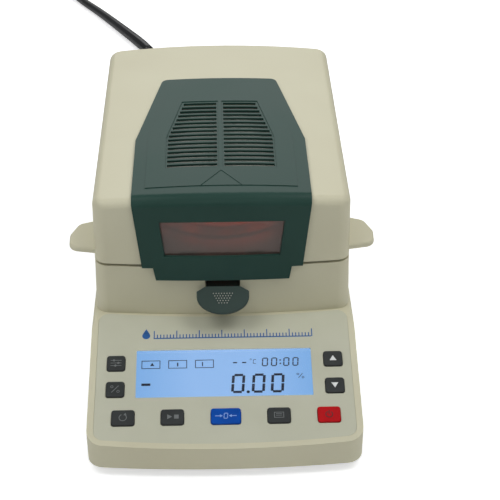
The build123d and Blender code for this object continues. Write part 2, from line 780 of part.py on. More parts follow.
def load_cell_bracket():
    """Block under the fixed end of the load cell."""
    y = CHAMBER_Y + 10 - CELL_LENGTH + 14
    height = CELL_Z - SKIRT_Z
    block = Pos(0, y, SKIRT_Z + height / 2) * Box(CELL_WIDTH + 10, 26, height)
    foot = Pos(0, y, SKIRT_Z + BRACKET_THICKNESS / 2) * Box(CELL_WIDTH + 34, 26, BRACKET_THICKNESS)
    return block + foot


def on_posts(size, centre, thickness, height):
    """A board on four posts from the base plate."""
    width, length = size
    board = Pos(centre[0], centre[1], SKIRT_Z + height + thickness / 2) * Box(width, length, thickness)
    for x in (-1, 1):
        for y in (-1, 1):
            at = (centre[0] + x * (width / 2 - BOARD_EDGE), centre[1] + y * (length / 2 - BOARD_EDGE))
            board += Pos(at[0], at[1], SKIRT_Z + height / 2) * Cylinder(POST_RADIUS, height)
    return board


def main_board():
    """Main circuit board with its largest parts."""
    board = on_posts(BOARD_SIZE, BOARD_CENTRE, BOARD_THICKNESS, STANDOFF)
    z = SKIRT_Z + STANDOFF + BOARD_THICKNESS
    x, y = BOARD_CENTRE
    chip = Box(CHIP_SIZE, CHIP_SIZE, CHIP_HEIGHT)
    board += Pos(x - CHIP_SIZE, y - CHIP_SIZE / 2, z + CHIP_HEIGHT / 2) * chip
    board += Pos(x + 20, y - 14, z + CAN_HEIGHT / 2) * Cylinder(CAN_HEIGHT / 2, CAN_HEIGHT)
    return board


def transformer():
    """Laminated core and winding of the supply transformer."""
    width, length, height = TRANSFORMER_SIZE
    x, y = TRANSFORMER_CENTRE
    z = SKIRT_Z + height / 2
    core = Pos(x, y, z) * Box(width, length / 2, height)
    winding = Pos(x, y, z) * Box(width * 0.62, length, height * 0.7)
    foot = Pos(x, y, SKIRT_Z + TRANSFORMER_FOOT / 2) * Box(width * 1.27, length / 2, TRANSFORMER_FOOT)
    return core + winding + foot


def fan_y():
    """Middle of the fan along Y, against the rear wall."""
    return REAR_Y - WALL - FAN_DEPTH / 2 - SKIN_GAP


def y_cylinder(y, radius, length):
    """Cylinder along Y on the fan's axis, centred at y."""
    return Pos(FAN_X, y, FAN_Z) * Rot(90, 0, 0) * Cylinder(radius, length)


def fan_frame():
    """Square fan frame with a four-spoke motor mount and the shaft."""
    y = fan_y()
    frame = Pos(FAN_X, y, FAN_Z) * Box(FAN_SIZE, FAN_DEPTH, FAN_SIZE)
    frame -= y_cylinder(y, FAN_BORE, FAN_DEPTH + 2)
    mount_y = y - (FAN_DEPTH - FAN_MOUNT) / 2
    frame += y_cylinder(mount_y, HUB_RADIUS, FAN_MOUNT)
    for angle in (0, 90):
        spoke = Box(2 * FAN_BORE + 1, FAN_MOUNT, 1.25 * FAN_MOUNT)
        frame += Pos(FAN_X, mount_y, FAN_Z) * Rot(0, angle, 0) * spoke
    return frame + y_cylinder(y - FAN_MOUNT / 4, SHAFT_RADIUS, FAN_DEPTH - 1.5 * FAN_MOUNT)


def fan_rotor():
    """Hub with pitched blades, turning on the shaft."""
    depth = FAN_DEPTH - 2.5 * FAN_MOUNT
    reach = FAN_BORE - BLADE_TIP_GAP
    rotor = Cylinder(HUB_RADIUS, depth)
    for index in range(BLADE_COUNT):
        blade = Box(reach - HUB_RADIUS + 2, depth, BLADE_THICKNESS)
        blade = Pos((HUB_RADIUS + reach) / 2, 0, 0) * Rot(BLADE_PITCH_DEG, 0, 0) * blade
        rotor += Rot(0, 0, index * 360 / BLADE_COUNT) * blade
    rotor &= Cylinder(reach, depth)
    rotor -= Cylinder(SHAFT_RADIUS + SHAFT_FIT, depth + 2)
    return Pos(FAN_X, fan_y() + FAN_MOUNT / 2, FAN_Z) * Rot(90, 0, 0) * rotor


def power_inlet():
    """Appliance inlet: flange outside the rear wall, body inside, socket and pins."""
    width, height = INLET_SIZE
    face_y = REAR_Y + SKIN_GAP + INLET_FLANGE
    flange = Pos(INLET_X, face_y - INLET_FLANGE / 2, INLET_Z) * Box(width * 1.6, INLET_FLANGE, height + 4)
    body = Pos(INLET_X, REAR_Y - INLET_DEPTH / 2 + 1, INLET_Z) * Box(width, INLET_DEPTH, height)
    socket = Pos(INLET_X, face_y - SOCKET_DEPTH / 2, INLET_Z) * Box(
        width - 2 * INLET_WALL, SOCKET_DEPTH, height - 2 * INLET_WALL)
    inlet = flange + body - socket
    pin_y = face_y - SOCKET_DEPTH + PIN_LENGTH / 2
    for x, z in ((-PIN_PITCH, PIN_STEP), (0, -PIN_STEP), (PIN_PITCH, PIN_STEP)):
        inlet += Pos(INLET_X + x, pin_y, INLET_Z + z) * Box(2, PIN_LENGTH, 4)
    return inlet


def serial_port():
    """Nine-way data socket with its shell and two hex nuts."""
    width, height = PORT_SIZE
    plate = Pos(PORT_X, REAR_Y + SKIN_GAP + PORT_PLATE / 2, PORT_Z) * Box(width, PORT_PLATE, height)
    shell_width, shell_height = PORT_SHELL
    shell = Pos(PORT_X, REAR_Y + PORT_REACH / 2, PORT_Z) * Box(shell_width, PORT_REACH, shell_height)
    shell -= Pos(PORT_X, REAR_Y + PORT_REACH, PORT_Z) * Box(
        shell_width - 2 * PORT_WALL, 2 * (PORT_REACH - PORT_PLATE), shell_height - 2 * PORT_WALL)
    body = Pos(PORT_X, REAR_Y - PORT_DEPTH / 2 + PORT_PLATE, PORT_Z) * Box(
        shell_width + 2, PORT_DEPTH, shell_height + 1.5)
    port = plate + shell + body
    for x in (-NUT_X, NUT_X):
        nut = extrude(RegularPolygon(NUT_RADIUS, 6), amount=PORT_REACH - PORT_PLATE)
        port += Pos(PORT_X + x, REAR_Y + PORT_REACH - 0.4, PORT_Z) * Rot(90, 0, 0) * nut
    return port


def ear(side):
    """Lifting ear: a rounded horizontal wing."""
    half = SEAM_WIDTH / 2
    tip = half + EAR_REACH
    root = half - HOOD_WALL
    points = [
        (root, EAR_REAR_Y), (half + 0.7 * EAR_REACH, EAR_REAR_Y - 0.15 * EAR_LENGTH),
        (tip, EAR_REAR_Y - 0.5 * EAR_LENGTH), (tip - 0.5, EAR_FRONT_Y + 0.1 * EAR_LENGTH),
        (root, EAR_FRONT_Y),
    ]
    outline = make_face(Polyline(*points, close=True))
    corners = [v for v in outline.vertices() if v.X > half + EAR_CORNER_R]
    outline = fillet(corners, EAR_CORNER_R)
    plate = Pos(0, 0, EAR_Z - EAR_THICKNESS / 2) * extrude(outline, amount=EAR_THICKNESS)
    rims = plate.faces().sort_by(Axis.Z)
    plate = fillet(rims[0].edges() + rims[-1].edges(), EAR_EDGE_R)
    return plate if side > 0 else mirror(plate, Plane.YZ)


def front_plane(z):
    """Plane on the hood's leaning front face at height z, facing the operator."""
    y = HOOD_FRONT_Y + (z - HOOD_Z) * math.tan(LEAN)
    return Plane(origin=(0, y, z), x_dir=(1, 0, 0), z_dir=(0, -math.cos(LEAN), math.sin(LEAN)))


def window_outline(extra=0.0):
    """Window outline, wider at the top, round its middle height."""
    rise = (WINDOW_TOP_Z - WINDOW_LOW_Z) / 2 + extra
    top, low = WINDOW_HALF_TOP + extra, WINDOW_HALF_LOW + extra
    return make_face(Polyline((-top, rise), (-low, -rise), (low, -rise), (top, rise), close=True))


def window_middle_z():
    """Height of the window's middle."""
    return (WINDOW_TOP_Z + WINDOW_LOW_Z) / 2


def hood_shell():
    """Moulded hood cover with its two ears, open below, at the window and under the grille."""
    shell = hood_form() + ear(1) + ear(-1)
    shell -= hood_form(HOOD_WALL, HOOD_Z - 1)
    plane = front_plane(window_middle_z())
    plane = plane.offset(-20)
    shell -= extrude(plane * window_outline(GLASS_LAP + GLASS_FIT), amount=40)
    vent_half = SLOT_HALF + 2
    vent_rear = SLOT_FRONT_Y + SLOT_COUNT * SLOT_PITCH
    shell -= Pos(0, (SLOT_FRONT_Y + vent_rear) / 2 - 2, HOOD_TOP_Z) * Box(
        2 * vent_half, vent_rear - SLOT_FRONT_Y + 4, 30)
    shell -= hinge_room()
    return shell


def bonnet_outline(inset=0.0):
    """Plan outline of the bonnet, kept inset from its edge."""
    front = HOOD_FRONT_Y + APRON_DEPTH - 1 + inset
    half = [BONNET_RIDGE_HALF - inset, BONNET_WAIST_HALF - inset, BONNET_REAR_HALF - 0.6 * inset]
    rear = BONNET_REAR_Y - inset
    waist = BONNET_WAIST_Y
    right = [(half[0], front), (half[1], waist), (half[2], rear)]
    left = [(-x, y) for x, y in reversed(right)]
    outline = make_face(Polyline(*right, *left, close=True))
    corners = [v for v in outline.vertices() if v.Y > waist + 5]
    return fillet(corners, BONNET_CORNER_R)


def slot_half(y):
    """Half-width of the grille at y: straight in front, tapering to the rear."""
    rear_y = SLOT_FRONT_Y + (SLOT_COUNT - 0.5) * SLOT_PITCH
    if y < SLOT_TAPER_Y:
        return SLOT_HALF
    share = (y - SLOT_TAPER_Y) / (rear_y - SLOT_TAPER_Y)
    return SLOT_HALF - share * (SLOT_HALF - SLOT_REAR_HALF)


def grille_slots():
    """Prisms of the slots in both blocks."""
    slots = []
    for index in range(SLOT_COUNT):
        y = SLOT_FRONT_Y + (index + 0.5) * SLOT_PITCH
        half = slot_half(y)
        width = half - CENTRE_RIB / 2
        for side in (-1, 1):
            x = side * (half + CENTRE_RIB / 2) / 2
            slots.append(Pos(x, y, HOOD_TOP_Z) * Box(width, SLOT_WIDTH, 40))
    return slots


def grille_fields():
    """Shallow recessed fields round the two blocks of slots."""
    fields = []
    rear = SLOT_FRONT_Y + SLOT_COUNT * SLOT_PITCH
    margin = GRILLE_MARGIN
    for side in (-1, 1):
        near = side * (CENTRE_RIB / 2 - margin)
        far = side * (SLOT_HALF + margin)
        points = [(near, SLOT_FRONT_Y - margin), (far, SLOT_FRONT_Y - margin), (far, SLOT_TAPER_Y),
                  (side * (SLOT_REAR_HALF + margin), rear + margin), (near, rear + margin)]
        outline = make_face(Polyline(*points, close=True))
        fields.append(Pos(0, 0, HOOD_Z) * extrude(outline, amount=HOOD_HEIGHT + 20))
    return fields


def bonnet():
    """Cover with the grille on top and the apron with the window in front."""
    outer = hood_form(-BONNET_PROUD, TONGUE_Z - 5)
    inner = hood_form(-SKIN_GAP, TONGUE_Z - 10)
    skin = outer - inner
    cover = Pos(0, 0, HOOD_SIDE_Z - 12) * extrude(bonnet_outline(), amount=40)
    step = APRON_STEP_Z
    right = [(TONGUE_LOW_HALF, TONGUE_Z), (TONGUE_HALF, step), (APRON_LOW_HALF, step),
             (BONNET_RIDGE_HALF, HOOD_SIDE_Z), (BONNET_RIDGE_HALF, HOOD_SIDE_Z + 12)]
    left = [(-x, z) for x, z in reversed(right)]
    apron = front_prism(left + right, None, HOOD_FRONT_Y - 20, HOOD_FRONT_Y + APRON_DEPTH)
    body = (skin & cover) + (skin & apron)
    plateau = hood_form(-BONNET_PROUD - PLATEAU_RISE) - hood_form(-BONNET_PROUD + 0.5)
    body += plateau & (Pos(0, 0, HOOD_SIDE_Z - 2) * extrude(bonnet_outline(PLATEAU_INSET), amount=30))
    sunk = hood_form(-BONNET_PROUD - 5) - hood_form(-BONNET_PROUD - PLATEAU_RISE + GRILLE_RECESS)
    for field in grille_fields():
        body -= sunk & field
    body -= grille_slots()
    label = Polyline((-LABEL_HALF, LABEL_Y), (LABEL_HALF, LABEL_Y), (0, LABEL_Y + LABEL_HEIGHT), close=True)
    label_cut = Pos(0, 0, HOOD_Z) * extrude(make_face(label), amount=HOOD_HEIGHT + 20)
    body -= label_cut - hood_form(-BONNET_PROUD - PLATEAU_RISE + LABEL_DEPTH)
    plane = front_plane(window_middle_z())
    sight = extrude(plane.offset(-8) * window_outline(-1.0), amount=30, taper=REVEAL_TAPER_DEG)
    return body - sight


def glass_plane():
    """Plane of the glass's outer face, behind the apron."""
    edge = bow(WINDOW_HALF_TOP + GLASS_LAP)
    return front_plane(window_middle_z()).offset(-GLASS_SET_BACK - edge)


def window_glass():
    """Flat glass that fills the hood's window opening."""
    return extrude(glass_plane() * window_outline(GLASS_LAP), amount=-GLASS_THICKNESS)


def window_clips():
    """Four spring clips that hold the glass from inside."""
    clips = []
    inner = glass_plane().offset(-GLASS_THICKNESS - 0.1)
    rise = (WINDOW_TOP_Z - WINDOW_LOW_Z) / 2 + GLASS_LAP
    for x in (-26, 26):
        for side in (-1, 1):
            clip = extrude(inner * (Pos(x, side * (rise - 0.5)) * Rectangle(CLIP_WIDTH, 6)), amount=-1.2)
            clips.append(clip)
    return clips


def hood_base_plate():
    """Metal heat shield across the hood, open over the chamber."""
    inset = HOOD_WALL + 0.1
    plan = bowed_plan(SEAM_WIDTH / 2 - inset, HOOD_FRONT_Y + inset + 0.2, HINGE_Y - 8)
    plan = fillet(plan.vertices(), BLOCK_CORNER_R - HOOD_WALL)
    plate = Pos(0, 0, SHIELD_Z) * extrude(plan, amount=SHIELD_THICKNESS)
    plate -= Pos(0, CHAMBER_Y, SHIELD_Z) * Cylinder(SHIELD_HOLE, 10)
    return plate


def reflector():
    """Shallow reflector over the lamp, on four legs from the heat shield."""
    low, high = REFLECTOR_Z, REFLECTOR_Z + REFLECTOR_RISE
    thick = REFLECTOR_THICKNESS
    rim = SHIELD_HOLE + LEG_SPACE + 2
    points = [(REFLECTOR_VENT, high), (REFLECTOR_RADIUS, low), (rim, low),
              (rim, low + thick), (REFLECTOR_RADIUS, low + thick), (REFLECTOR_VENT, high + thick)]
    section = Plane.XZ * make_face(Polyline(*points, close=True))
    dome = Pos(0, CHAMBER_Y, 0) * revolve(section, Axis.Z)
    leg_low = SHIELD_Z + SHIELD_THICKNESS
    height = low - leg_low + thick / 2
    for angle in (35, 145, 215, 325):
        turn = math.radians(angle)
        x = (SHIELD_HOLE + LEG_SPACE) * math.cos(turn)
        y = CHAMBER_Y + (SHIELD_HOLE + LEG_SPACE) * math.sin(turn)
        dome += Pos(x, y, leg_low + height / 2) * Cylinder(2.5, height)
    return dome


def vent_baffle():
    """Bent sheet channel under the grille; air leaves at its open ends."""
    length = SLOT_COUNT * SLOT_PITCH + 2 * BAFFLE_LAP
    y = SLOT_FRONT_Y + SLOT_COUNT * SLOT_PITCH / 2
    height = BAFFLE_TOP_Z - BAFFLE_Z
    channel = Pos(0, y, BAFFLE_Z + height / 2) * Box(2 * BAFFLE_HALF, length, height)
    hollow = Box(2 * (BAFFLE_HALF - BAFFLE_THICKNESS), length + 2, height)
    return channel - Pos(0, y, BAFFLE_Z + BAFFLE_THICKNESS + height / 2) * hollow


def halogen_lamp():
    """Ring lamp: a quartz tube bent round the chamber, open at the rear."""
    half_gap = math.radians(LAMP_GAP_DEG / 2)
    start = (LAMP_RADIUS * math.sin(half_gap), CHAMBER_Y + LAMP_RADIUS * math.cos(half_gap), LAMP_Z)
    end = (-start[0], start[1], LAMP_Z)
    ring = ThreePointArc(start, (0, CHAMBER_Y - LAMP_RADIUS, LAMP_Z), end)
    section = Plane(origin=ring @ 0, z_dir=ring % 0) * Circle(LAMP_TUBE_RADIUS)
    return sweep(section, path=ring)


def lamp_holders():
    """Two ceramic blocks that hold the lamp's ends, on posts from the heat shield."""
    half_gap = math.radians(LAMP_GAP_DEG / 2)
    lean = LAMP_TUBE_RADIUS * math.sin(half_gap)
    x = LAMP_RADIUS * math.sin(half_gap) - lean - LAMP_END_GAP - HOLDER_WIDTH / 2
    y = CHAMBER_Y + LAMP_RADIUS * math.cos(half_gap)
    low = SHIELD_Z + SHIELD_THICKNESS
    post_y = CHAMBER_Y + SHIELD_HOLE + LEG_SPACE
    holders = []
    for side in (-1, 1):
        block = Pos(side * x, y, LAMP_Z) * Box(HOLDER_WIDTH, HOLDER_BLOCK, HOLDER_BLOCK)
        post = Pos(side * x, post_y, (low + LAMP_Z) / 2) * Box(HOLDER_WIDTH, HOLDER_ARM, LAMP_Z - low)
        arm = Box(HOLDER_WIDTH, post_y - y, HOLDER_ARM)
        holders.append(block + post + Pos(side * x, (y + post_y) / 2, LAMP_Z - HOLDER_ARM / 2) * arm)
    return holders


def lamp_guard():
    """Wire guard under the lamp: a ring and parallel wires on a flange."""
    z = SHIELD_Z + SHIELD_THICKNESS + GUARD_WIRE
    guard = Cylinder(SHIELD_HOLE + 3, 2 * GUARD_WIRE) - Cylinder(GUARD_RING_RADIUS, 2 * GUARD_WIRE)
    count = int(GUARD_RING_RADIUS / GUARD_PITCH)
    for index in range(-count, count + 1):
        x = index * GUARD_PITCH
        length = 2 * math.sqrt(GUARD_RING_RADIUS**2 - x**2) + 4
        guard += Pos(x, 0, 0) * Rot(90, 0, 0) * Cylinder(GUARD_WIRE * 0.8, length)
    return Pos(0, CHAMBER_Y, z + 0.05) * guard


def temperature_probe():
    """Probe tube that reaches in from the side on its own block."""
    low = SHIELD_Z + SHIELD_THICKNESS
    tube_z = LAMP_Z + LAMP_TUBE_RADIUS + PROBE_GAP + PROBE_RADIUS
    height = tube_z + 2 * PROBE_RADIUS - low
    width, length = PROBE_BLOCK
    x = SHIELD_HOLE + width
    block = Pos(x, CHAMBER_Y, low + height / 2) * Box(width, length, height)
    return block + x_cylinder(x - PROBE_LENGTH / 2, CHAMBER_Y, tube_z, PROBE_RADIUS, PROBE_LENGTH)


def hinge_brackets():
    """Base half of each hinge: two barrels on a leaf against the rear wall."""
    brackets = []
    offset = HOOD_KNUCKLE / 2 + KNUCKLE_GAP + BASE_KNUCKLE / 2
    for x in hinge_stations():
        width = HOOD_KNUCKLE + 2 * KNUCKLE_GAP + 2 * BASE_KNUCKLE
        bore = x_cylinder(x, HINGE_Y, HINGE_Z, HINGE_PIN_RADIUS + HINGE_FIT, 2 * width)
        leaf_top = HINGE_Z - BARREL_RADIUS + 1
        leaf_y = REAR_Y - WALL - HINGE_LEAF / 2 - SKIN_GAP
        leaf_z = RELIEF_Z - 0.5 - LEAF_HEIGHT / 2
        bracket = Pos(x, leaf_y, leaf_z) * Box(width, HINGE_LEAF, LEAF_HEIGHT)
        for side in (-1, 1):
            barrel = x_cylinder(x + side * offset, HINGE_Y, HINGE_Z, BARREL_RADIUS, BASE_KNUCKLE)
            web = Pos(x + side * offset, leaf_y, (RELIEF_Z - 2 + leaf_top) / 2) * Box(
                BASE_KNUCKLE, HINGE_LEAF, leaf_top - RELIEF_Z + 2)
            bracket += barrel + web
        brackets.append(bracket - bore)
    return brackets


def hinge_pins():
    """Pin through each hinge."""
    length = HOOD_KNUCKLE + 2 * BASE_KNUCKLE + 2 * KNUCKLE_GAP
    return [x_cylinder(x, HINGE_Y, HINGE_Z, HINGE_PIN_RADIUS, length) for x in hinge_stations()]


def hood_knuckles():
    """Hood half of each hinge: one barrel on a leaf up the inside of the rear wall."""
    knuckles = []
    for x in hinge_stations():
        barrel = x_cylinder(x, HINGE_Y, HINGE_Z, BARREL_RADIUS, HOOD_KNUCKLE)
        leaf_y = REAR_Y - HOOD_WALL - HINGE_LEAF / 2 - SKIN_GAP
        leaf = Box(HOOD_KNUCKLE, HINGE_LEAF, HOOD_LEAF_HEIGHT)
        leaf = Pos(x, leaf_y, HINGE_Z + HOOD_LEAF_HEIGHT / 2) * leaf
        bore = x_cylinder(x, HINGE_Y, HINGE_Z, HINGE_PIN_RADIUS + HINGE_FIT, 2 * HOOD_KNUCKLE)
        knuckles.append(barrel + leaf - bore)
    return knuckles


def tube(points, radius):
    """Round tube along straight runs joined by the largest arcs that they allow."""
    route = [Vector(*p) for p in points]
    radii = []
    for before, here, after in zip(route, route[1:], route[2:]):
        turn = math.radians((here - before).get_angle(after - here))
        run = min((here - before).length, (after - here).length)
        radii.append(0.45 * run / math.tan(turn / 2))
    print("radii", [round(r, 1) for r in radii])
    path = FilletPolyline(*points, radius=radii)
    section = Plane(origin=path @ 0, z_dir=path % 0) * Circle(radius)
    body = sweep(section, path=path)
    share = body.volume / (math.pi * radius**2 * path.length)
    print("share", round(share, 4), "length", round(path.length, 1))
    return body


def along(start, end, near_radius, far_radius):
    """Round tapered piece between two points."""
    first, last = Vector(*start), Vector(*end)
    axis = last - first
    place = Plane(origin=first, z_dir=axis)
    return loft([place * Circle(near_radius), place.offset(axis.length) * Circle(far_radius)])


def cord_connector():
    """Moulded connector in the inlet with its tapered boot."""
    width, height, length = CONNECTOR_BODY
    y = REAR_Y + 2.3
    body = Pos(INLET_X, y + length / 2, INLET_Z) * Box(width, length, height)
    body = fillet(body.edges().filter_by(Axis.Y), 3.0)
    start = (INLET_X, y + length, INLET_Z)
    return body + along(start, LEAD_ROUTE[0], BOOT_RADIUS, CORD_RADIUS)


def coil_height():
    """Height of the coil's stacked turns."""
    return 2 * CORD_RADIUS * COIL_TURNS_HIGH


def cord_coil():
    """Outer shape of the put-away turns."""
    width = 2 * CORD_RADIUS * COIL_TURNS_WIDE
    outer, inner = COIL_RADIUS + width / 2, COIL_RADIUS - width / 2
    ring = Cylinder(outer, coil_height()) - Cylinder(inner, coil_height())
    return Pos(COIL_X, COIL_Y, coil_height() / 2 + 0.2) * ring


def cord_plug():
    """Two-pin mains plug with its boot, lying on the bench."""
    start, end = Vector(*SLEEVE_END), Vector(*PLUG_POINT)
    axis = Vector(end.X - start.X, end.Y - start.Y, 0).normalized()
    place = Plane(origin=end, x_dir=Vector(-axis.Y, axis.X, 0), z_dir=axis)
    boot = Cone(CORD_RADIUS, BOOT_RADIUS, BOOT_LENGTH, align=(Align.CENTER, Align.CENTER, Align.MIN))
    width, height = PLUG_BODY
    body = Pos(0, 0, BOOT_LENGTH + PLUG_LENGTH / 2) * Box(width, height, PLUG_LENGTH)
    plug = boot + fillet(body.edges().filter_by(Axis.Z), PLUG_CORNER_R)
    for x in (-PLUG_PIN_X, PLUG_PIN_X):
        pin = Cylinder(PLUG_PIN_RADIUS, PLUG_PIN_LENGTH, align=(Align.CENTER, Align.CENTER, Align.MIN))
        plug += Pos(x, 0, BOOT_LENGTH + PLUG_LENGTH - 0.5) * pin
    return place * plug


def pieces():
    """Every node by name."""
    found = {
        "base_tray": base_tray(), "rubber_feet": rubber_feet(), "case_screws": case_screws(),
        "upper_housing": upper_housing(), "front_panel": front_panel(), "lcd_window": lcd_window(),
        "lcd_module": lcd_module(), "keypad_board": keypad_board(), "key_switches": key_switches(),
        "chamber_dish": chamber_dish(), "wind_ring": wind_ring(), "sample_pan": sample_pan(),
        "pan_handler": pan_handler(), "pan_support": pan_support(), "load_cell": load_cell(),
        "load_cell_bracket": load_cell_bracket(), "main_board": main_board(), "transformer": transformer(),
        "fan_frame": fan_frame(), "fan_rotor": fan_rotor(), "power_inlet": power_inlet(),
        "serial_port": serial_port(), "hood_shell": hood_shell(), "bonnet": bonnet(),
        "window_glass": window_glass(), "window_clips": window_clips(), "hood_base_plate": hood_base_plate(),
        "reflector": reflector(), "vent_baffle": vent_baffle(), "halogen_lamp": halogen_lamp(),
        "lamp_holders": lamp_holders(),
        "lamp_guard": lamp_guard(), "temperature_probe": temperature_probe(),
        "hinge_brackets": hinge_brackets(), "hinge_pins": hinge_pins(), "hood_knuckles": hood_knuckles(),
        "cord_connector": cord_connector(), "cord_lead": tube(LEAD_ROUTE, CORD_RADIUS),
        "cord_coil": cord_coil(), "cord_run": tube(RUN_ROUTE, CORD_RADIUS),
        "cord_sleeve": along(RUN_ROUTE[-1], SLEEVE_END, SLEEVE_RADIUS, CORD_RADIUS),
        "cord_tail": along(SLEEVE_END, PLUG_POINT, CORD_RADIUS, CORD_RADIUS), "cord_plug": cord_plug(),
    }
    for name, x, y, width, length in KEYS:
        found[name] = key(x, y, width, length)
    return found


os.makedirs("parts", exist_ok=True)
for name, shape in pieces().items():
    solids = shape if isinstance(shape, list) else [shape]
    solids = [Pos(0, -ORIGIN_Y, 0) * solid for piece in solids for solid in piece.solids()]
    whole = solids[0] if len(solids) == 1 else Compound(children=solids)
    export_step(whole, f"parts/{name}.step")
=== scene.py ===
"""Bench moisture analyser with a halogen heating hood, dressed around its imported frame.

Lengths in the classes are millimetres; MM turns them into metres.
"""

import logging
import math
from dataclasses import dataclass, field
from enum import Enum
from typing import Any, Optional

import bmesh
import bpy
from mathutils import Matrix, Vector


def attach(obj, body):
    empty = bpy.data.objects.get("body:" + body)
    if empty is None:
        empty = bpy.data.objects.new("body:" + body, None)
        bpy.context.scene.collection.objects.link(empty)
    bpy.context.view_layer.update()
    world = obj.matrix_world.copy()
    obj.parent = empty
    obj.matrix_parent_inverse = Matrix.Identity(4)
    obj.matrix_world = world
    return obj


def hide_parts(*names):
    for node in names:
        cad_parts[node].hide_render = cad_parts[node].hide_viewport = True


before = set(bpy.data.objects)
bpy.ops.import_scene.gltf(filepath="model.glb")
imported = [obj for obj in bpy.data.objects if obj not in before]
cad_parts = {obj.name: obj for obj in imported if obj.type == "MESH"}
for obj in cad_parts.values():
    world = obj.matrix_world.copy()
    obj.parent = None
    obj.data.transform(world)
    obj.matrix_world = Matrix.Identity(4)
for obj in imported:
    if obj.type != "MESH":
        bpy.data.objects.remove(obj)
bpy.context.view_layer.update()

MM = 0.001
# Vertices closer than this are one, and faces that turn less than this are one flat face.
MERGE_MM = 0.002
FLAT_DEG = 0.6
BEVEL_SEGMENTS = 2
# How strongly the bevel's shading leans to the large faces, on Blender's scale from 1 to 100.
FACE_WEIGHT = 80
# A seven-segment sign: the bars that each one lights, the bar's share of the height, and its lean.
SEGMENTS = {"0": "abcdef", "C": "afed"}
SEGMENT_STROKE = 0.12
SEGMENT_LEAN = 0.08
# What is left free at the ends of the level and of the upright bars, as shares of the stroke.
LEVEL_END = 0.7
UPRIGHT_END = 0.45
# The middle of the machine along Y in the camera fit's frame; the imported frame's origin is there.
ORIGIN_Y = 3.7
LOG = logging.getLogger("moisture_analyser")


class Edge(Enum):
    """Radius in millimetres that a dressed copy's edges get."""

    PLAIN = 0.0
    CRISP = 0.15
    SOFT = 0.35
    ROUND = 0.7


def linear(hex_colour: str) -> tuple[float, float, float, float]:
    """Turns an sRGB hex colour into linear values.

    Args:
        hex_colour: Six hex digits, as in "D5CFB4".

    Returns:
        Red, green, blue and an alpha of 1.
    """
    parts = [int(hex_colour[i:i + 2], 16) / 255 for i in (0, 2, 4)]
    values = [p / 12.92 if p <= 0.04045 else ((p + 0.055) / 1.055) ** 2.4 for p in parts]
    return (values[0], values[1], values[2], 1.0)


def add_node(tree: bpy.types.NodeTree, kind: str, settings: Optional[dict[str, Any]] = None,
             links: Optional[dict[str, Any]] = None) -> bpy.types.Node:
    """Adds a shader node with its settings and links.

    Args:
        tree: The node tree.
        kind: The node's type name.
        settings: Values by socket name, or by property name where there is no such socket.
        links: Output sockets by the name of the input that they go to.

    Returns:
        The new node.
    """
    node = tree.nodes.new(kind)
    for name, value in (settings or {}).items():
        if name in node.inputs:
            node.inputs[name].default_value = value
        else:
            setattr(node, name, value)
    for name, socket in (links or {}).items():
        tree.links.new(socket, node.inputs[name])
    return node


def two_tones(tree: bpy.types.NodeTree, amount: bpy.types.NodeSocket, low: str, high: str,
              span: tuple[float, float] = (0.0, 1.0)) -> bpy.types.NodeSocket:
    """Blends two colours by a value.

    Args:
        tree: The node tree.
        amount: The socket that gives the value.
        low: The colour at and below the span, as an sRGB hex.
        high: The colour at and above it.
        span: The values between which the colours blend.

    Returns:
        The socket with the blended colour.
    """
    ramp = add_node(tree, "ShaderNodeValToRGB", {}, {"Fac": amount})
    for element, place, colour in zip(ramp.color_ramp.elements, span, (low, high)):
        element.position = place
        element.color = linear(colour)
    return ramp.outputs["Color"]


def blank_material(name: str) -> tuple[bpy.types.Material, bpy.types.NodeTree, bpy.types.Node]:
    """Starts a node material.

    Args:
        name: The material's name.

    Returns:
        The material, its tree and its shader node.
    """
    material = bpy.data.materials.new(name)
    material.use_nodes = True
    tree = material.node_tree
    shader = tree.nodes["Principled BSDF"]
    return material, tree, shader


@dataclass(frozen=True)
class MouldedPlastic:
    """Injection-moulded ABS or the like: an even colour with a fine spark-eroded texture."""

    name: str
    colour: str
    shade: str
    roughness: float = 0.45
    grain_mm: float = 0.5
    grain_depth_mm: float = 0.02
    grain_strength: float = 0.35
    cloud_mm: float = 60.0
    cloud_span: tuple[float, float] = (0.3, 0.7)
    gloss_gain: float = 0.05
    gloss_loss: float = 0.07
    specular: float = 0.5

    def build(self) -> bpy.types.Material:
        """Builds the material.

        Returns:
            The material.
        """
        material, tree, shader = blank_material(self.name)
        place = add_node(tree, "ShaderNodeTexCoord").outputs["Object"]
        # The pigment of a moulding is nearly even, with slow, faint changes over centimetres.
        cloud = add_node(tree, "ShaderNodeTexNoise", {"Scale": 1 / (self.cloud_mm * MM), "Detail": 2.0},
                         {"Vector": place}).outputs["Fac"]
        tree.links.new(two_tones(tree, cloud, self.shade, self.colour, self.cloud_span),
                       shader.inputs["Base Color"])
        # The eroded tool leaves a fine grain; it is drawn coarser than real so that it shows.
        grain = add_node(tree, "ShaderNodeTexNoise", {"Scale": 1 / (self.grain_mm * MM), "Detail": 3.0},
                         {"Vector": place})
        bump = add_node(tree, "ShaderNodeBump",
                        {"Strength": self.grain_strength, "Distance": self.grain_depth_mm * MM},
                        {"Height": grain.outputs["Fac"]})
        tree.links.new(bump.outputs["Normal"], shader.inputs["Normal"])
        polish = add_node(tree, "ShaderNodeMapRange",
                          {"To Min": self.roughness - self.gloss_gain,
                           "To Max": self.roughness + self.gloss_loss},
                          {"Value": cloud})
        tree.links.new(polish.outputs["Result"], shader.inputs["Roughness"])
        shader.inputs["Specular IOR Level"].default_value = self.specular
        return material


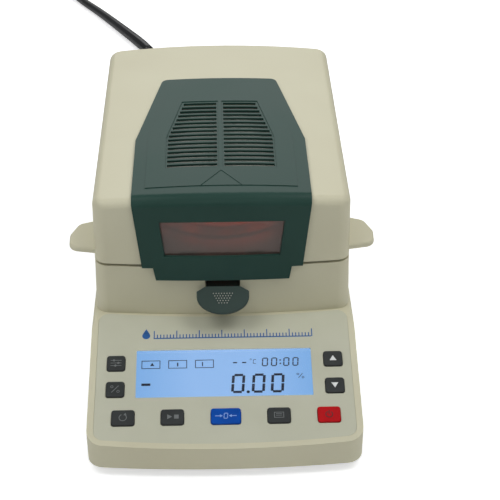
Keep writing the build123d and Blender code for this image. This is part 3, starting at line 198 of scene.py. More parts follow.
@dataclass(frozen=True)
class RolledMetal:
    """Sheet or bar metal with the fine lines that rolling, turning or brushing leaves."""

    name: str
    colour: str
    shade: str
    roughness: float = 0.3
    line_mm: float = 0.4
    stretch: float = 30.0
    depth_mm: float = 0.01
    line_strength: float = 0.3

    def build(self) -> bpy.types.Material:
        """Builds the material.

        Returns:
            The material.
        """
        material, tree, shader = blank_material(self.name)
        place = add_node(tree, "ShaderNodeTexCoord").outputs["Object"]
        # Lines run along X, the rolling direction.
        mapping = add_node(tree, "ShaderNodeMapping", {"Scale": (1 / self.stretch, 1.0, 1.0)},
                           {"Vector": place})
        lines = add_node(tree, "ShaderNodeTexNoise", {"Scale": 1 / (self.line_mm * MM), "Detail": 4.0},
                         {"Vector": mapping.outputs["Vector"]}).outputs["Fac"]
        tree.links.new(two_tones(tree, lines, self.shade, self.colour), shader.inputs["Base Color"])
        bump = add_node(tree, "ShaderNodeBump",
                        {"Strength": self.line_strength, "Distance": self.depth_mm * MM}, {"Height": lines})
        tree.links.new(bump.outputs["Normal"], shader.inputs["Normal"])
        shader.inputs["Metallic"].default_value = 1.0
        shader.inputs["Roughness"].default_value = self.roughness
        return material


@dataclass(frozen=True)
class PrintedInk:
    """Screen-printed ink or a display segment: thin, even and slightly mottled."""

    name: str
    colour: str
    shade: str
    roughness: float = 0.5
    mottle_mm: float = 1.5

    def build(self) -> bpy.types.Material:
        """Builds the material.

        Returns:
            The material.
        """
        material, tree, shader = blank_material(self.name)
        place = add_node(tree, "ShaderNodeTexCoord").outputs["Object"]
        mottle = add_node(tree, "ShaderNodeTexNoise", {"Scale": 1 / (self.mottle_mm * MM)},
                          {"Vector": place})
        tree.links.new(two_tones(tree, mottle.outputs["Fac"], self.shade, self.colour),
                       shader.inputs["Base Color"])
        shader.inputs["Roughness"].default_value = self.roughness
        return material


@dataclass(frozen=True)
class Backlight:
    """Display glass lit by blue lamps behind it: paler in the middle than at its sides."""

    name: str
    middle: str
    edge: str
    half_width_mm: float
    strength: float
    fade_start: float = 0.35
    fade_end: float = 1.05
    glass: str = "1A2430"
    roughness: float = 0.25

    def build(self) -> bpy.types.Material:
        """Builds the material.

        Returns:
            The material.
        """
        material, tree, shader = blank_material(self.name)
        place = add_node(tree, "ShaderNodeTexCoord").outputs["Object"]
        parts = add_node(tree, "ShaderNodeSeparateXYZ", {}, {"Vector": place})
        across = add_node(tree, "ShaderNodeMath", {"operation": "ABSOLUTE"})
        tree.links.new(parts.outputs["X"], across.inputs[0])
        half = self.half_width_mm * MM
        share = add_node(tree, "ShaderNodeMapRange",
                         {"From Min": self.fade_start * half, "From Max": self.fade_end * half},
                         {"Value": across.outputs["Value"]})
        # A colour mix has its factor in socket 0, its colours in 6 and 7 and its result in output 2.
        mix = add_node(tree, "ShaderNodeMix", {"data_type": "RGBA"})
        mix.inputs[6].default_value = linear(self.middle)
        mix.inputs[7].default_value = linear(self.edge)
        tree.links.new(share.outputs["Result"], mix.inputs[0])
        tree.links.new(mix.outputs[2], shader.inputs["Emission Color"])
        shader.inputs["Emission Strength"].default_value = self.strength
        shader.inputs["Base Color"].default_value = linear(self.glass)
        shader.inputs["Roughness"].default_value = self.roughness
        return material


@dataclass(frozen=True)
class ClearSheet:
    """Acrylic or heat-resisting glass: clear or tinted, with faint wipe marks."""

    name: str
    colour: str
    roughness: float
    transmission: float
    ior: float
    wipes_per_metre: float = 60.0
    wipe_haze: float = 0.06

    def build(self) -> bpy.types.Material:
        """Builds the material.

        Returns:
            The material.
        """
        material, tree, shader = blank_material(self.name)
        place = add_node(tree, "ShaderNodeTexCoord").outputs["Object"]
        wipes = add_node(tree, "ShaderNodeTexNoise", {"Scale": self.wipes_per_metre, "Detail": 2.0},
                         {"Vector": place})
        polish = add_node(tree, "ShaderNodeMapRange",
                          {"To Min": self.roughness, "To Max": self.roughness + self.wipe_haze},
                          {"Value": wipes.outputs["Fac"]})
        tree.links.new(polish.outputs["Result"], shader.inputs["Roughness"])
        shader.inputs["Base Color"].default_value = linear(self.colour)
        shader.inputs["Transmission Weight"].default_value = self.transmission
        shader.inputs["IOR"].default_value = self.ior
        return material


@dataclass(frozen=True)
class GlowingQuartz:
    """Quartz tube with a hot filament inside: a dull red-orange glow, brighter in patches."""

    name: str
    dim: str
    bright: str
    strength: float
    patch_mm: float = 14.0
    patch_span: tuple[float, float] = (0.4, 0.65)
    quartz: str = "C8B8A8"
    roughness: float = 0.15

    def build(self) -> bpy.types.Material:
        """Builds the material.

        Returns:
            The material.
        """
        material, tree, shader = blank_material(self.name)
        place = add_node(tree, "ShaderNodeTexCoord").outputs["Object"]
        patch = add_node(tree, "ShaderNodeTexNoise", {"Scale": 1 / (self.patch_mm * MM)}, {"Vector": place})
        tree.links.new(two_tones(tree, patch.outputs["Fac"], self.dim, self.bright, self.patch_span),
                       shader.inputs["Emission Color"])
        shader.inputs["Emission Strength"].default_value = self.strength
        shader.inputs["Base Color"].default_value = linear(self.quartz)
        shader.inputs["Roughness"].default_value = self.roughness
        return material


class Finishes:
    """Every finish of the object, made once and found by name."""

    def __init__(self) -> None:
        """Lists the finishes and builds their materials."""
        plan = [
            MouldedPlastic("cream_abs_moulded", "D5D1B6", "D0CBAF", 0.45, cloud_mm=90.0, specular=0.35),
            MouldedPlastic("green_abs_moulded", "2A473F", "26433B", 0.36, grain_mm=0.6, specular=0.17),
            MouldedPlastic("green_nylon_moulded", "34443F", "303F3A", 0.42, specular=0.25),
            MouldedPlastic("dark_key_moulded", "363939", "303333", 0.5, cloud_mm=12.0, specular=0.25),
            MouldedPlastic("blue_key_moulded", "0450B4", "0347A4", 0.45, cloud_mm=12.0, specular=0.12),
            MouldedPlastic("red_key_moulded", "C40E18", "B40A12", 0.45, cloud_mm=12.0, specular=0.12),
            MouldedPlastic("panel_film_printed", "C8C8B4", "C3C3AE", 0.5, grain_mm=0.3, cloud_mm=40.0,
                           specular=0.3),
            MouldedPlastic("black_nylon_moulded", "1A1B1C", "141516", 0.45, specular=0.4),
            MouldedPlastic("black_pvc_extruded", "141517", "0F1012", 0.3, grain_mm=1.0),
            MouldedPlastic("black_rubber_moulded", "1C1C1C", "151515", 0.7, specular=0.3),
            MouldedPlastic("green_board_laminate", "1E5A32", "184C2A", 0.4, cloud_mm=8.0),
            MouldedPlastic("white_ceramic_fired", "E4E0D6", "DAD5C8", 0.6),
            MouldedPlastic("grey_powder_coat", "A9A99F", "9F9F95", 0.55, grain_mm=0.8),
            RolledMetal("aluminium_rolled", "D6D7D8", "BEC0C2", 0.28),
            # Painted shade: the reflector's aluminium gets a dark colour so the chamber seen through the
            # grille and window stays dark, with few glints.
            RolledMetal("aluminium_painted_shade", "6E6E6A", "585955", 0.6),
            RolledMetal("aluminium_milled", "C4C6C8", "ABAEB0", 0.35),
            RolledMetal("steel_plated", "B5B6B8", "9EA0A2", 0.3),
            RolledMetal("copper_brown_core", "6A5240", "54402F", 0.5),
            PrintedInk("white_legend_ink", "E8EAE8", "DDE0DE"),
            PrintedInk("grey_legend_ink", "747878", "6A6E6E"),
            PrintedInk("pale_blue_legend_ink", "8FB4E6", "83A8DC"),
            PrintedInk("dark_legend_ink", "3A0A0C", "300809"),
            PrintedInk("blue_legend_ink", "1B5FA8", "175597"),
            PrintedInk("display_segment_ink", "1E2744", "192039", 0.4),
            Backlight("display_backlight", "94BEF2", "7CAFE8", 67.0, 0.93),
            ClearSheet("clear_acrylic_cast", "FFFFFF", 0.02, 1.0, 1.3),
            ClearSheet("tinted_heat_glass", "8A7D75", 0.14, 0.6, 1.45),
            GlowingQuartz("quartz_lamp_glowing", "7A1A08", "FF5420", 2.2),
        ]
        self.materials = {finish.name: finish.build() for finish in plan}

    def get(self, name: str) -> bpy.types.Material:
        """Returns the material of that name."""
        return self.materials[name]


FINISHES = Finishes()


def set_finish(piece: bpy.types.Object, finish: str) -> None:
    """Gives a piece one material in place of what it has.

    Args:
        piece: The piece.
        finish: The finish's name.
    """
    piece.data.materials.clear()
    piece.data.materials.append(FINISHES.get(finish))


def new_piece(name: str, bm: bmesh.types.BMesh, finish: str, body: str) -> bpy.types.Object:
    """Turns a bmesh into a piece that rides on a body.

    Args:
        name: The piece's name.
        bm: The mesh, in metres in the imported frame; it is freed.
        finish: The finish's name.
        body: The CAD body that it rides on.

    Returns:
        The new object.
    """
    mesh = bpy.data.meshes.new(name)
    bm.to_mesh(mesh)
    bm.free()
    piece = bpy.data.objects.new(name, mesh)
    bpy.context.scene.collection.objects.link(piece)
    set_finish(piece, finish)
    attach(piece, body)
    LOG.info("%s: %d faces on %s", name, len(mesh.polygons), body)
    return piece


def dressed_copy(node: str, finish: str, body: str, edge: Edge = Edge.CRISP,
                 crease_deg: float = 28.0) -> bpy.types.Object:
    """Merges a copy of a CAD node's triangles, softens its edges and shows it instead.

    Args:
        node: The CAD node.
        finish: The finish's name.
        body: The body that the node rides on.
        edge: How far the edges are rounded.
        crease_deg: The angle above which an edge counts as one.

    Returns:
        The piece that stands for the node.
    """
    bm = bmesh.new()
    bm.from_mesh(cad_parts[node].data)
    bmesh.ops.remove_doubles(bm, verts=bm.verts, dist=MERGE_MM * MM)
    bmesh.ops.dissolve_limit(bm, angle_limit=math.radians(FLAT_DEG), verts=bm.verts, edges=bm.edges)
    for face in bm.faces:
        face.smooth = True
    for line in bm.edges:
        line.smooth = line.calc_face_angle(math.pi) < math.radians(crease_deg)
    piece = new_piece(node + "_dressed", bm, finish, body)
    if edge is not Edge.PLAIN:
        for line in piece.data.edges:
            line.use_edge_sharp = False
        bevel = piece.modifiers.new("soft_edges", "BEVEL")
        bevel.width = edge.value * MM
        bevel.segments = BEVEL_SEGMENTS
        bevel.limit_method = "ANGLE"
        bevel.angle_limit = math.radians(crease_deg)
        bevel.use_clamp_overlap = True
        weight = piece.modifiers.new("flat_faces", "WEIGHTED_NORMAL")
        weight.keep_sharp = False
        weight.weight = FACE_WEIGHT
    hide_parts(node)
    return piece


def face_frame(node: str, normal: Vector, ahead_of: Optional[float] = None) -> tuple[Matrix, float, float]:
    """Finds the plane on a CAD node's highest face along a direction.

    Args:
        node: The CAD node.
        normal: The direction that the face looks in, square to X.
        ahead_of: Only vertices with a smaller y are read, in metres.

    Returns:
        A matrix whose x runs along X and whose z is the normal, at the middle of the face,
        and the node's size along that x and y.
    """
    points = [v.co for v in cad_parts[node].data.vertices if ahead_of is None or v.co.y < ahead_of]
    across = Vector((1, 0, 0))
    up = normal.cross(across).normalized()
    spans = [[p.dot(axis) for p in points] for axis in (across, up, normal)]
    middle = (min(spans[0]) + max(spans[0])) / 2 * across + (min(spans[1]) + max(spans[1])) / 2 * up
    origin = middle + max(spans[2]) * normal
    place = Matrix.Translation(origin) @ Matrix((across, up, normal)).transposed().to_4x4()
    return place, max(spans[0]) - min(spans[0]), max(spans[1]) - min(spans[1])


@dataclass(frozen=True)
class DigitRow:
    """A row of seven-segment signs: its place, its size, and a wider gap before one of them."""

    signs: str
    first_x: float
    y: float
    width: float
    height: float
    pitch: float = 0.0
    split: int = 1
    gap: float = 0.0


@dataclass(frozen=True)
class Figure:
    """A printed figure in millimetres: what Plate's bar, polygon, ring and outline each get."""

    bars: tuple[tuple[float, ...], ...] = ()
    polygons: tuple[tuple[float, ...], ...] = ()
    rings: tuple[tuple[float, ...], ...] = ()
    outlines: tuple[tuple[float, ...], ...] = ()
    rows: tuple[DigitRow, ...] = ()


class Plate:
    """Flat printed or raised figures on a plane, made from bars, rings and polygons in millimetres."""

    def __init__(self, place: Matrix, lift_mm: float = 0.015, thickness_mm: float = 0.05) -> None:
        """Starts an empty plate.

        Args:
            place: The plane's matrix in metres.
            lift_mm: How far the figures lie above the plane.
            thickness_mm: How thick they are.
        """
        self.bm = bmesh.new()
        self.place = place
        self.lift = lift_mm
        self.thickness = thickness_mm

    def bar(self, x: float, y: float, width: float, height: float, turn_deg: float = 0.0,
            lean: float = 0.0) -> None:
        """Adds a rectangle.

        Args:
            x: Its middle across the plane.
            y: Its middle up the plane.
            width: Its width.
            height: Its height.
            turn_deg: Its turn to the left.
            lean: How far its top leans over, as a share of its height.
        """
        shear = Matrix.Identity(4)
        shear[0][1] = lean
        turn = Matrix.Rotation(math.radians(turn_deg), 4, "Z")
        size = Matrix.Diagonal((width, height, 1.0, 1.0))
        matrix = Matrix.Translation((x, y, self.lift)) @ turn @ shear @ size
        bmesh.ops.create_grid(self.bm, x_segments=1, y_segments=1, size=0.5, matrix=matrix)

    def polygon(self, x: float, y: float, radius: float, sides: int, turn_deg: float = 0.0) -> None:
        """Adds a filled regular polygon, whose first corner is at its top before the turn."""
        matrix = Matrix.Translation((x, y, self.lift)) @ Matrix.Rotation(math.radians(turn_deg), 4, "Z")
        bmesh.ops.create_circle(self.bm, cap_ends=True, segments=sides, radius=radius, matrix=matrix)

    def ring(self, x: float, y: float, radius: float, width: float, sides: int, gap: int = 0) -> None:
        """Adds a ring.

        Args:
            x: Its middle across the plane.
            y: Its middle up the plane.
            radius: Its outer radius.
            width: The width of its line.
            sides: How many sides it has.
            gap: How many sides are left out at its top.
        """
        made = bmesh.ops.create_circle(self.bm, cap_ends=True, segments=sides, radius=radius,
                                       matrix=Matrix.Translation((x, y, self.lift)))
        disc = made["verts"][0].link_faces[0]
        rim = bmesh.ops.inset_region(self.bm, faces=[disc], thickness=width, use_boundary=True,
                                     use_even_offset=True)["faces"]
        top = sorted(rim, key=lambda face: -face.calc_center_median().y)[:gap]
        bmesh.ops.delete(self.bm, geom=[disc] + top, context="FACES")

    def outline(self, x: float, y: float, width: float, height: float, line: float) -> None:
        """Adds a rectangular outline.

        Args:
            x: Its middle across the plane.
            y: Its middle up the plane.
            width: Its outer width.
            height: Its outer height.
            line: The width of its line.
        """
        for side in (-1, 1):
            self.bar(x, y + side * (height - line) / 2, width, line)
            self.bar(x + side * (width - line) / 2, y, line, height - 2 * line)

    def digit(self, sign: str, x: float, y: float, width: float, height: float) -> None:
        """Adds a seven-segment sign.

        Args:
            sign: One of the signs in SEGMENTS.
            x: Its middle across the plane.
            y: Its middle up the plane.
            width: Its width.
            height: Its height.
        """
        stroke = height * SEGMENT_STROKE
        across = width - stroke
        half = (height - stroke) / 2
        levels = {"a": half, "g": 0.0, "d": -half}
        for name in SEGMENTS[sign]:
            if name in levels:
                rise = levels[name]
                self.bar(x + rise * SEGMENT_LEAN, y + rise, across - LEVEL_END * stroke, stroke, 0,
                         SEGMENT_LEAN)
            else:
                side = 1 if name in "bc" else -1
                rise = half / 2 if name in "bf" else -half / 2
                self.bar(x + side * across / 2 + rise * SEGMENT_LEAN, y + rise, stroke,
                         half - UPRIGHT_END * stroke, 0, SEGMENT_LEAN)

    def draw(self, figure: Figure) -> None:
        """Adds every part of a figure.

        Args:
            figure: The figure.
        """
        for add, parts in ((self.bar, figure.bars), (self.polygon, figure.polygons),
                           (self.ring, figure.rings), (self.outline, figure.outlines)):
            for part in parts:
                add(*part)
        for row in figure.rows:
            for index, sign in enumerate(row.signs):
                x = row.first_x + index * row.pitch + (row.gap if index >= row.split else 0.0)
                self.digit(sign, x, row.y, row.width, row.height)

    def done(self, name: str, finish: str, body: str) -> bpy.types.Object:
        """Thickens the figures and makes the piece.

        Args:
            name: The piece's name.
            finish: The finish's name.
            body: The body that it rides on.

        Returns:
            The new piece.
        """
        bmesh.ops.recalc_face_normals(self.bm, faces=self.bm.faces)
        flipped = [f for f in self.bm.faces if f.normal.z < 0]
        bmesh.ops.reverse_faces(self.bm, faces=flipped)
        solid = bmesh.ops.extrude_face_region(self.bm, geom=self.bm.faces[:])
        raised = [e for e in solid["geom"] if isinstance(e, bmesh.types.BMVert)]
        bmesh.ops.translate(self.bm, verts=raised, vec=(0, 0, self.thickness))
        bmesh.ops.recalc_face_normals(self.bm, faces=self.bm.faces)
        bmesh.ops.transform(self.bm, matrix=self.place @ Matrix.Scale(MM, 4), verts=self.bm.verts)
        return new_piece(name, self.bm, finish, body)


# The signs on the keys. A triangle's turn is 0 for up, 180 for down, -90 for right and 90 for left.
SLIDERS = Figure(bars=tuple((0.0, y, 8.4, 0.45) for y in (2.4, 0.0, -2.4)),
                 polygons=((-1.6, 2.4, 0.95, 14), (1.8, 0.0, 0.95, 14), (-0.4, -2.4, 0.95, 14)))
PER_CENT = Figure(bars=((0.0, 0.0, 0.5, 8.0, -42.0),),
                  rings=((-2.4, 2.1, 1.15, 0.4, 20), (2.4, -2.1, 1.15, 0.4, 20)))
ARROW_UP = Figure(polygons=((0.0, -0.5, 3.1, 3),))
ARROW_DOWN = Figure(polygons=((0.0, 0.5, 3.1, 3, 180.0),))
RESTART = Figure(rings=((0.0, 0.0, 3.0, 0.55, 32, 4),), polygons=((1.7, 2.7, 1.4, 3, -125.0),))
RUN_OR_STOP = Figure(polygons=((-2.6, 0.0, 2.4, 3, -90.0),), bars=((3.0, 0.0, 3.4, 3.4),))
PAGE = Figure(outlines=((0.0, 0.0, 7.4, 5.0, 0.5),), bars=((0.0, -0.4, 4.6, 0.45), (0.0, 1.0, 4.6, 0.45)))
TO_ZERO = Figure(rows=(DigitRow("0", 0.0, 0.0, 3.2, 5.0),),
                 bars=((-6.0, 0.0, 4.0, 0.6), (6.0, 0.0, 4.0, 0.6)),
                 polygons=((-3.7, 0.0, 1.4, 3, -90.0), (3.7, 0.0, 1.4, 3, 90.0)))
SWITCH_OFF = Figure(rings=((0.0, -0.3, 2.9, 0.7, 32, 5),), bars=((0.0, 1.7, 0.7, 3.4),))

# The display: a large value and its sign, a small clock, a temperature and three tabbed boxes.
BOX_X = (-56.0, -35.5, -15.0)
READING = Figure(
    rows=(DigitRow("000", 10.5, -8.9, 10.0, 17.4, 14.4, 1, 1.2),
          DigitRow("0000", 31.5, 10.4, 4.7, 8.0, 7.0, 2, 2.4),
          DigitRow("C", 23.6, 11.0, 2.6, 4.0)),
    polygons=((17.9, -16.6, 1.3, 12), (43.2, 8.8, 0.7, 10), (43.2, 12.0, 0.7, 10), (-55.0, 9.4, 1.9, 3)),
    rings=((20.6, 13.0, 0.75, 0.25, 16), (56.2, -1.2, 1.0, 0.4, 16), (60.0, -4.2, 1.0, 0.4, 16)),
    outlines=tuple((x, 9.6, 14.4, 7.6, 0.6) for x in BOX_X),
    bars=(*((x - 4.0, 13.0, 5.6, 0.6) for x in BOX_X),
          (8.5, 10.2, 3.2, 1.1), (15.5, 10.2, 3.2, 1.1), (-35.5, 9.4, 1.0, 3.4), (-16.5, 9.4, 0.8, 3.8),
          (-59.5, -8.6, 6.8, 2.2), (58.1, -2.7, 0.5, 5.2, -38.0)))


@dataclass
class Console:
    """The sloped console: film, display, nine keys and their legends."""

    slope_deg: float = 17.28
    rule_drop: float = 24.7
    rule_middle: float = 7.0
    rule_length: float = 122.5
    rule_line: float = 1.0
    droplet: Figure = Figure(polygons=((-60.0, 2.6, 3.1, 28), (-60.0, 6.0, 3.0, 3)))
    first_tick: float = -53.8
    tick_count: int = 50
    tick_pitch: float = 2.5
    tick_width: float = 0.8
    short_tick: float = 3.6
    tall_tick: float = 7.2
    ticks_per_step: int = 7
    keys: dict[str, tuple[str, str, Figure]] = field(default_factory=lambda: {
        "key_set": ("dark_key_moulded", "grey_legend_ink", SLIDERS),
        "key_unit": ("dark_key_moulded", "grey_legend_ink", PER_CENT),
        "key_up": ("dark_key_moulded", "white_legend_ink", ARROW_UP),
        "key_down": ("dark_key_moulded", "white_legend_ink", ARROW_DOWN),
        "key_reset": ("dark_key_moulded", "grey_legend_ink", RESTART),
        "key_start": ("dark_key_moulded", "grey_legend_ink", RUN_OR_STOP),
        "key_auto": ("dark_key_moulded", "grey_legend_ink", PAGE),
        "key_tare": ("blue_key_moulded", "pale_blue_legend_ink", TO_ZERO),
        "key_power": ("red_key_moulded", "dark_legend_ink", SWITCH_OFF)})

    @property
    def normal(self) -> Vector:
        """Direction that the console looks in."""
        slope = math.radians(self.slope_deg)
        return Vector((0, -math.sin(slope), math.cos(slope)))

    def build(self) -> None:
        """Builds the whole console."""
        dressed_copy("front_panel", "panel_film_printed", "base")
        dressed_copy("lcd_window", "clear_acrylic_cast", "base", Edge.PLAIN)
        dressed_copy("lcd_module", "display_backlight", "base", Edge.PLAIN)
        set_finish(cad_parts["keypad_board"], "green_board_laminate")
        set_finish(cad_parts["key_switches"], "black_nylon_moulded")
        self.reading()
        self.rule()
        for key, (plastic, ink, sign) in self.keys.items():
            dressed_copy(key, plastic, f"{key}_body", Edge.SOFT)
            plate = Plate(face_frame(key, self.normal)[0])
            plate.draw(sign)
            plate.done(f"{key}_legend", ink, f"{key}_body")

    def reading(self) -> None:
        """Draws what the display shows."""
        plate = Plate(face_frame("lcd_module", self.normal)[0], lift_mm=0.03, thickness_mm=0.03)
        plate.draw(READING)
        plate.done("display_segments", "display_segment_ink", "base")

    def rule(self) -> None:
        """Prints a droplet and a plain graduated line on the film above the display."""
        place, _, length = face_frame("front_panel", self.normal)
        line_y = length / MM / 2 - self.rule_drop
        base_line = place @ Matrix.Translation((0, line_y * MM, 0))
        plate = Plate(base_line, lift_mm=0.02, thickness_mm=0.04)
        plate.draw(self.droplet)
        plate.bar(self.rule_middle, 0.0, self.rule_length, self.rule_line)
        for index in range(self.tick_count):
            height = self.short_tick if index % self.ticks_per_step else self.tall_tick
            plate.bar(self.first_tick + index * self.tick_pitch, height / 2, self.tick_width, height)
        plate.done("film_rule", "blue_legend_ink", "base")


@dataclass
class Housing:
    """The base: housing, plate, feet, chamber and what stands inside."""

    shown: dict[str, tuple[str, Edge]] = field(default_factory=lambda: {
        "upper_housing": ("cream_abs_moulded", Edge.SOFT), "base_tray": ("grey_powder_coat", Edge.CRISP),
        "rubber_feet": ("black_rubber_moulded", Edge.SOFT),
        "power_inlet": ("black_nylon_moulded", Edge.SOFT),
        "serial_port": ("steel_plated", Edge.CRISP), "chamber_dish": ("aluminium_rolled", Edge.CRISP),
        "wind_ring": ("aluminium_rolled", Edge.CRISP), "pan_support": ("steel_plated", Edge.CRISP),
        "hinge_brackets": ("steel_plated", Edge.CRISP)})
    inner: dict[str, str] = field(default_factory=lambda: {
        "load_cell": "aluminium_milled", "load_cell_bracket": "aluminium_milled",
        "main_board": "green_board_laminate", "transformer": "copper_brown_core",
        "fan_frame": "black_nylon_moulded", "hinge_pins": "steel_plated", "case_screws": "steel_plated"})

    def build(self) -> None:
        """Dresses every piece of the base."""
        for node, (finish, edge) in self.shown.items():
            dressed_copy(node, finish, "base", edge)
        dressed_copy("fan_rotor", "black_nylon_moulded", "fan")
        for node, finish in self.inner.items():
            set_finish(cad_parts[node], finish)


@dataclass
class Handler:
    """The pan handler with its dotted grip, and the pan."""

    tilt_deg: float = 40.0
    dot_radius: float = 0.42
    dot_sides: int = 10
    dot_sink: float = 0.02
    dot_height: float = 0.3
    dot_pitch: float = 2.1
    dot_rows: tuple[int, ...] = (8, 7, 6, 5, 4)
    first_row: float = -6.0
    row_pitch: float = 1.9
    front_limit: float = -78.0 - ORIGIN_Y

    def build(self) -> None:
        """Dresses the handler and the pan, and adds the dots."""
        dressed_copy("pan_handler", "green_nylon_moulded", "handler", Edge.SOFT)
        dressed_copy("sample_pan", "aluminium_rolled", "pan")
        self.dots()

    def dots(self) -> None:
        """Puts rows of small raised dots on the grip, each row shorter than the one above."""
        tilt = math.radians(self.tilt_deg)
        normal = Vector((0, -math.sin(tilt), math.cos(tilt)))
        place, _, length = face_frame("pan_handler", normal, self.front_limit * MM)
        plate = Plate(place, -self.dot_sink, self.dot_height)
        top = length / MM / 2
        for row, count in enumerate(self.dot_rows):
            for index in range(count):
                x = (index - (count - 1) / 2) * self.dot_pitch
                y = top + self.first_row - row * self.row_pitch
                plate.polygon(x, y, self.dot_radius, self.dot_sides)
        plate.done("grip_dots", "grey_powder_coat", "handler")


@dataclass
class Hood:
    """The heating hood: shell, bonnet, window, lamp and shield."""

    shown: dict[str, tuple[str, Edge]] = field(default_factory=lambda: {
        "hood_shell": ("cream_abs_moulded", Edge.CRISP), "bonnet": ("green_abs_moulded", Edge.ROUND),
        "window_glass": ("tinted_heat_glass", Edge.PLAIN),
        "hood_base_plate": ("aluminium_rolled", Edge.CRISP),
        # The reflector's dark aluminium is painted shade for the chamber behind the grille.
        "reflector": ("aluminium_painted_shade", Edge.PLAIN), "vent_baffle": ("grey_powder_coat", Edge.PLAIN),
        "hood_knuckles": ("steel_plated", Edge.CRISP)})
    # The lamp and the wires of its guard are round, so their facets are smoothed over wider angles.
    round_pieces: dict[str, tuple[str, float]] = field(default_factory=lambda: {
        "halogen_lamp": ("quartz_lamp_glowing", 60.0), "lamp_guard": ("steel_plated", 40.0)})
    inner: dict[str, str] = field(default_factory=lambda: {
        "window_clips": "steel_plated", "temperature_probe": "steel_plated",
        "lamp_holders": "white_ceramic_fired"})

    def build(self) -> None:
        """Dresses every piece of the hood."""
        for node, (finish, edge) in self.shown.items():
            dressed_copy(node, finish, "hood", edge)
        for node, (finish, crease_deg) in self.round_pieces.items():
            dressed_copy(node, finish, "hood", Edge.PLAIN, crease_deg)
        for node, finish in self.inner.items():
            set_finish(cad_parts[node], finish)


@dataclass
class Cord:
    """The mains cord: connector, lead, put-away coil, visible run with its sleeve, and plug."""

    radius: float = 4.25
    tube_steps: int = 6
    spline_steps: int = 6
    bench_gap: float = 0.2
    coil_x: float = 10.0
    coil_y: float = 400.0
    coil_radius: float = 46.0
    lane: float = 4.4
    points_per_turn: int = 18
    start_deg: float = -60.0
    end_deg: float = 1170.0
    # Angles along the winding between which a turn steps inward, onto the layer above, and outward.
    inward_deg: tuple[float, float] = (250.0, 300.0)
    upward_deg: tuple[float, float] = (560.0, 610.0)
    outward_deg: tuple[float, float] = (850.0, 900.0)
    lead: tuple[tuple[float, float, float], ...] = (
        (-48.0, 242.0, 42.0), (-48.0, 275.0, 37.0), (-40.0, 304.0, 22.0),
        (-20.0, 329.0, 8.0), (7.0, 342.0, 4.5))
    run: tuple[tuple[float, float, float], ...] = (
        (-26.0, 455.0, 9.0), (-52.0, 478.0, 4.6), (-71.0, 508.0, 4.8), (-92.0, 545.0, 6.7))
    sleeve_middle: tuple[tuple[float, float, float], ...] = ((-118.0, 590.0, 6.2), (-142.0, 632.0, 5.4))
    sleeve_end: tuple[float, float, float] = (-175.0, 682.0, 4.6)
    plug_point: tuple[float, float, float] = (-193.0, 711.0, 6.9)
    sleeve_radius: float = 6.55
    sleeve_tip_gap: float = 0.15
    sleeve_sides: int = 28
    sleeve_start: float = 520.0
    sleeve_stop: float = 682.0
    # The sleeve lies to the left of this, and the coil to the right.
    sleeve_right: float = -60.0

    def lanes(self, degrees: float) -> tuple[float, float]:
        """Finds where a turn of the coil lies.

        Args:
            degrees: The angle along the winding.

        Returns:
            The turn's radius and height there.
        """
        def ease(span: tuple[float, float]) -> float:
            """Returns 0 before the span, 1 after it and a smooth share between."""
            share = min(max((degrees - span[0]) / (span[1] - span[0]), 0.0), 1.0)
            return share * share * (3 - 2 * share)
        inward = ease(self.inward_deg) - ease(self.outward_deg)
        radius = self.coil_radius + self.lane * (1 - 2 * inward)
        height = self.radius + self.bench_gap + 2 * self.lane * ease(self.upward_deg)
        return radius, height

    def coil(self) -> list[tuple[float, float, float]]:
        """Winds the coil.

        Returns:
            Its control points, a little outside the circles that the spline then runs on.
        """
        points = []
        count = int((self.end_deg - self.start_deg) * self.points_per_turn / 360)
        swell = 1 / math.cos(math.pi / self.points_per_turn) ** 0.5
        for index in range(count + 1):
            degrees = self.start_deg + (self.end_deg - self.start_deg) * index / count
            radius, height = self.lanes(degrees)
            angle = math.radians(degrees)
            points.append((self.coil_x + swell * radius * math.cos(angle),
                           self.coil_y + swell * radius * math.sin(angle), height))
        return points

    def route(self) -> list[tuple[float, float, float]]:
        """Returns every control point of the cord."""
        points = [*self.lead, *self.coil(), *self.run, *self.sleeve_middle, self.sleeve_end, self.plug_point]
        return [(x, y - ORIGIN_Y, z) for x, y, z in points]

    def curve(self, name: str, bevel: float) -> bpy.types.Object:
        """Makes a smooth curve along the route.

        Args:
            name: The object's name.
            bevel: Radius of the tube in millimetres, or 0 for a bare line.

        Returns:
            The curve object.
        """
        points = self.route()
        data = bpy.data.curves.new(name, "CURVE")
        data.dimensions = "3D"
        data.bevel_depth = bevel * MM
        data.bevel_resolution = self.tube_steps
        data.resolution_u = self.spline_steps
        data.use_fill_caps = True
        spline = data.splines.new("NURBS")
        spline.points.add(len(points) - 1)
        for point, place in zip(spline.points, points):
            point.co = (place[0] * MM, place[1] * MM, place[2] * MM, 1.0)
        spline.order_u = 3
        spline.use_endpoint_u = True
        piece = bpy.data.objects.new(name, data)
        bpy.context.scene.collection.objects.link(piece)
        return piece

    def centreline(self) -> list[Vector]:
        """Reads points along the cord's own spline.

        Returns:
            The points, in metres.
        """
        bare = self.curve("cord_line", 0.0)
        bpy.context.view_layer.update()
        mesh = bpy.data.meshes.new_from_object(bare)
        line = [v.co.copy() for v in mesh.vertices]
        bpy.data.objects.remove(bare)
        bpy.data.meshes.remove(mesh)
        return line

    def sleeve(self, line: list[Vector]) -> bpy.types.Object:
        """Makes the tapered sleeve that lies over the visible run.

        Args:
            line: Points along the cord, in metres.

        Returns:
            The sleeve.
        """
        tip_radius = self.radius + self.sleeve_tip_gap
        stretch = [p for p in line if self.sleeve_start < p.y / MM + ORIGIN_Y < self.sleeve_stop
                   and p.x < self.sleeve_right * MM]
        bm = bmesh.new()
        rings = []
        last = len(stretch) - 1
        for index, point in enumerate(stretch):
            ahead = stretch[min(index + 1, last)] - stretch[max(index - 1, 0)]
            share = index / last
            taper = self.sleeve_radius + (tip_radius - self.sleeve_radius) * share
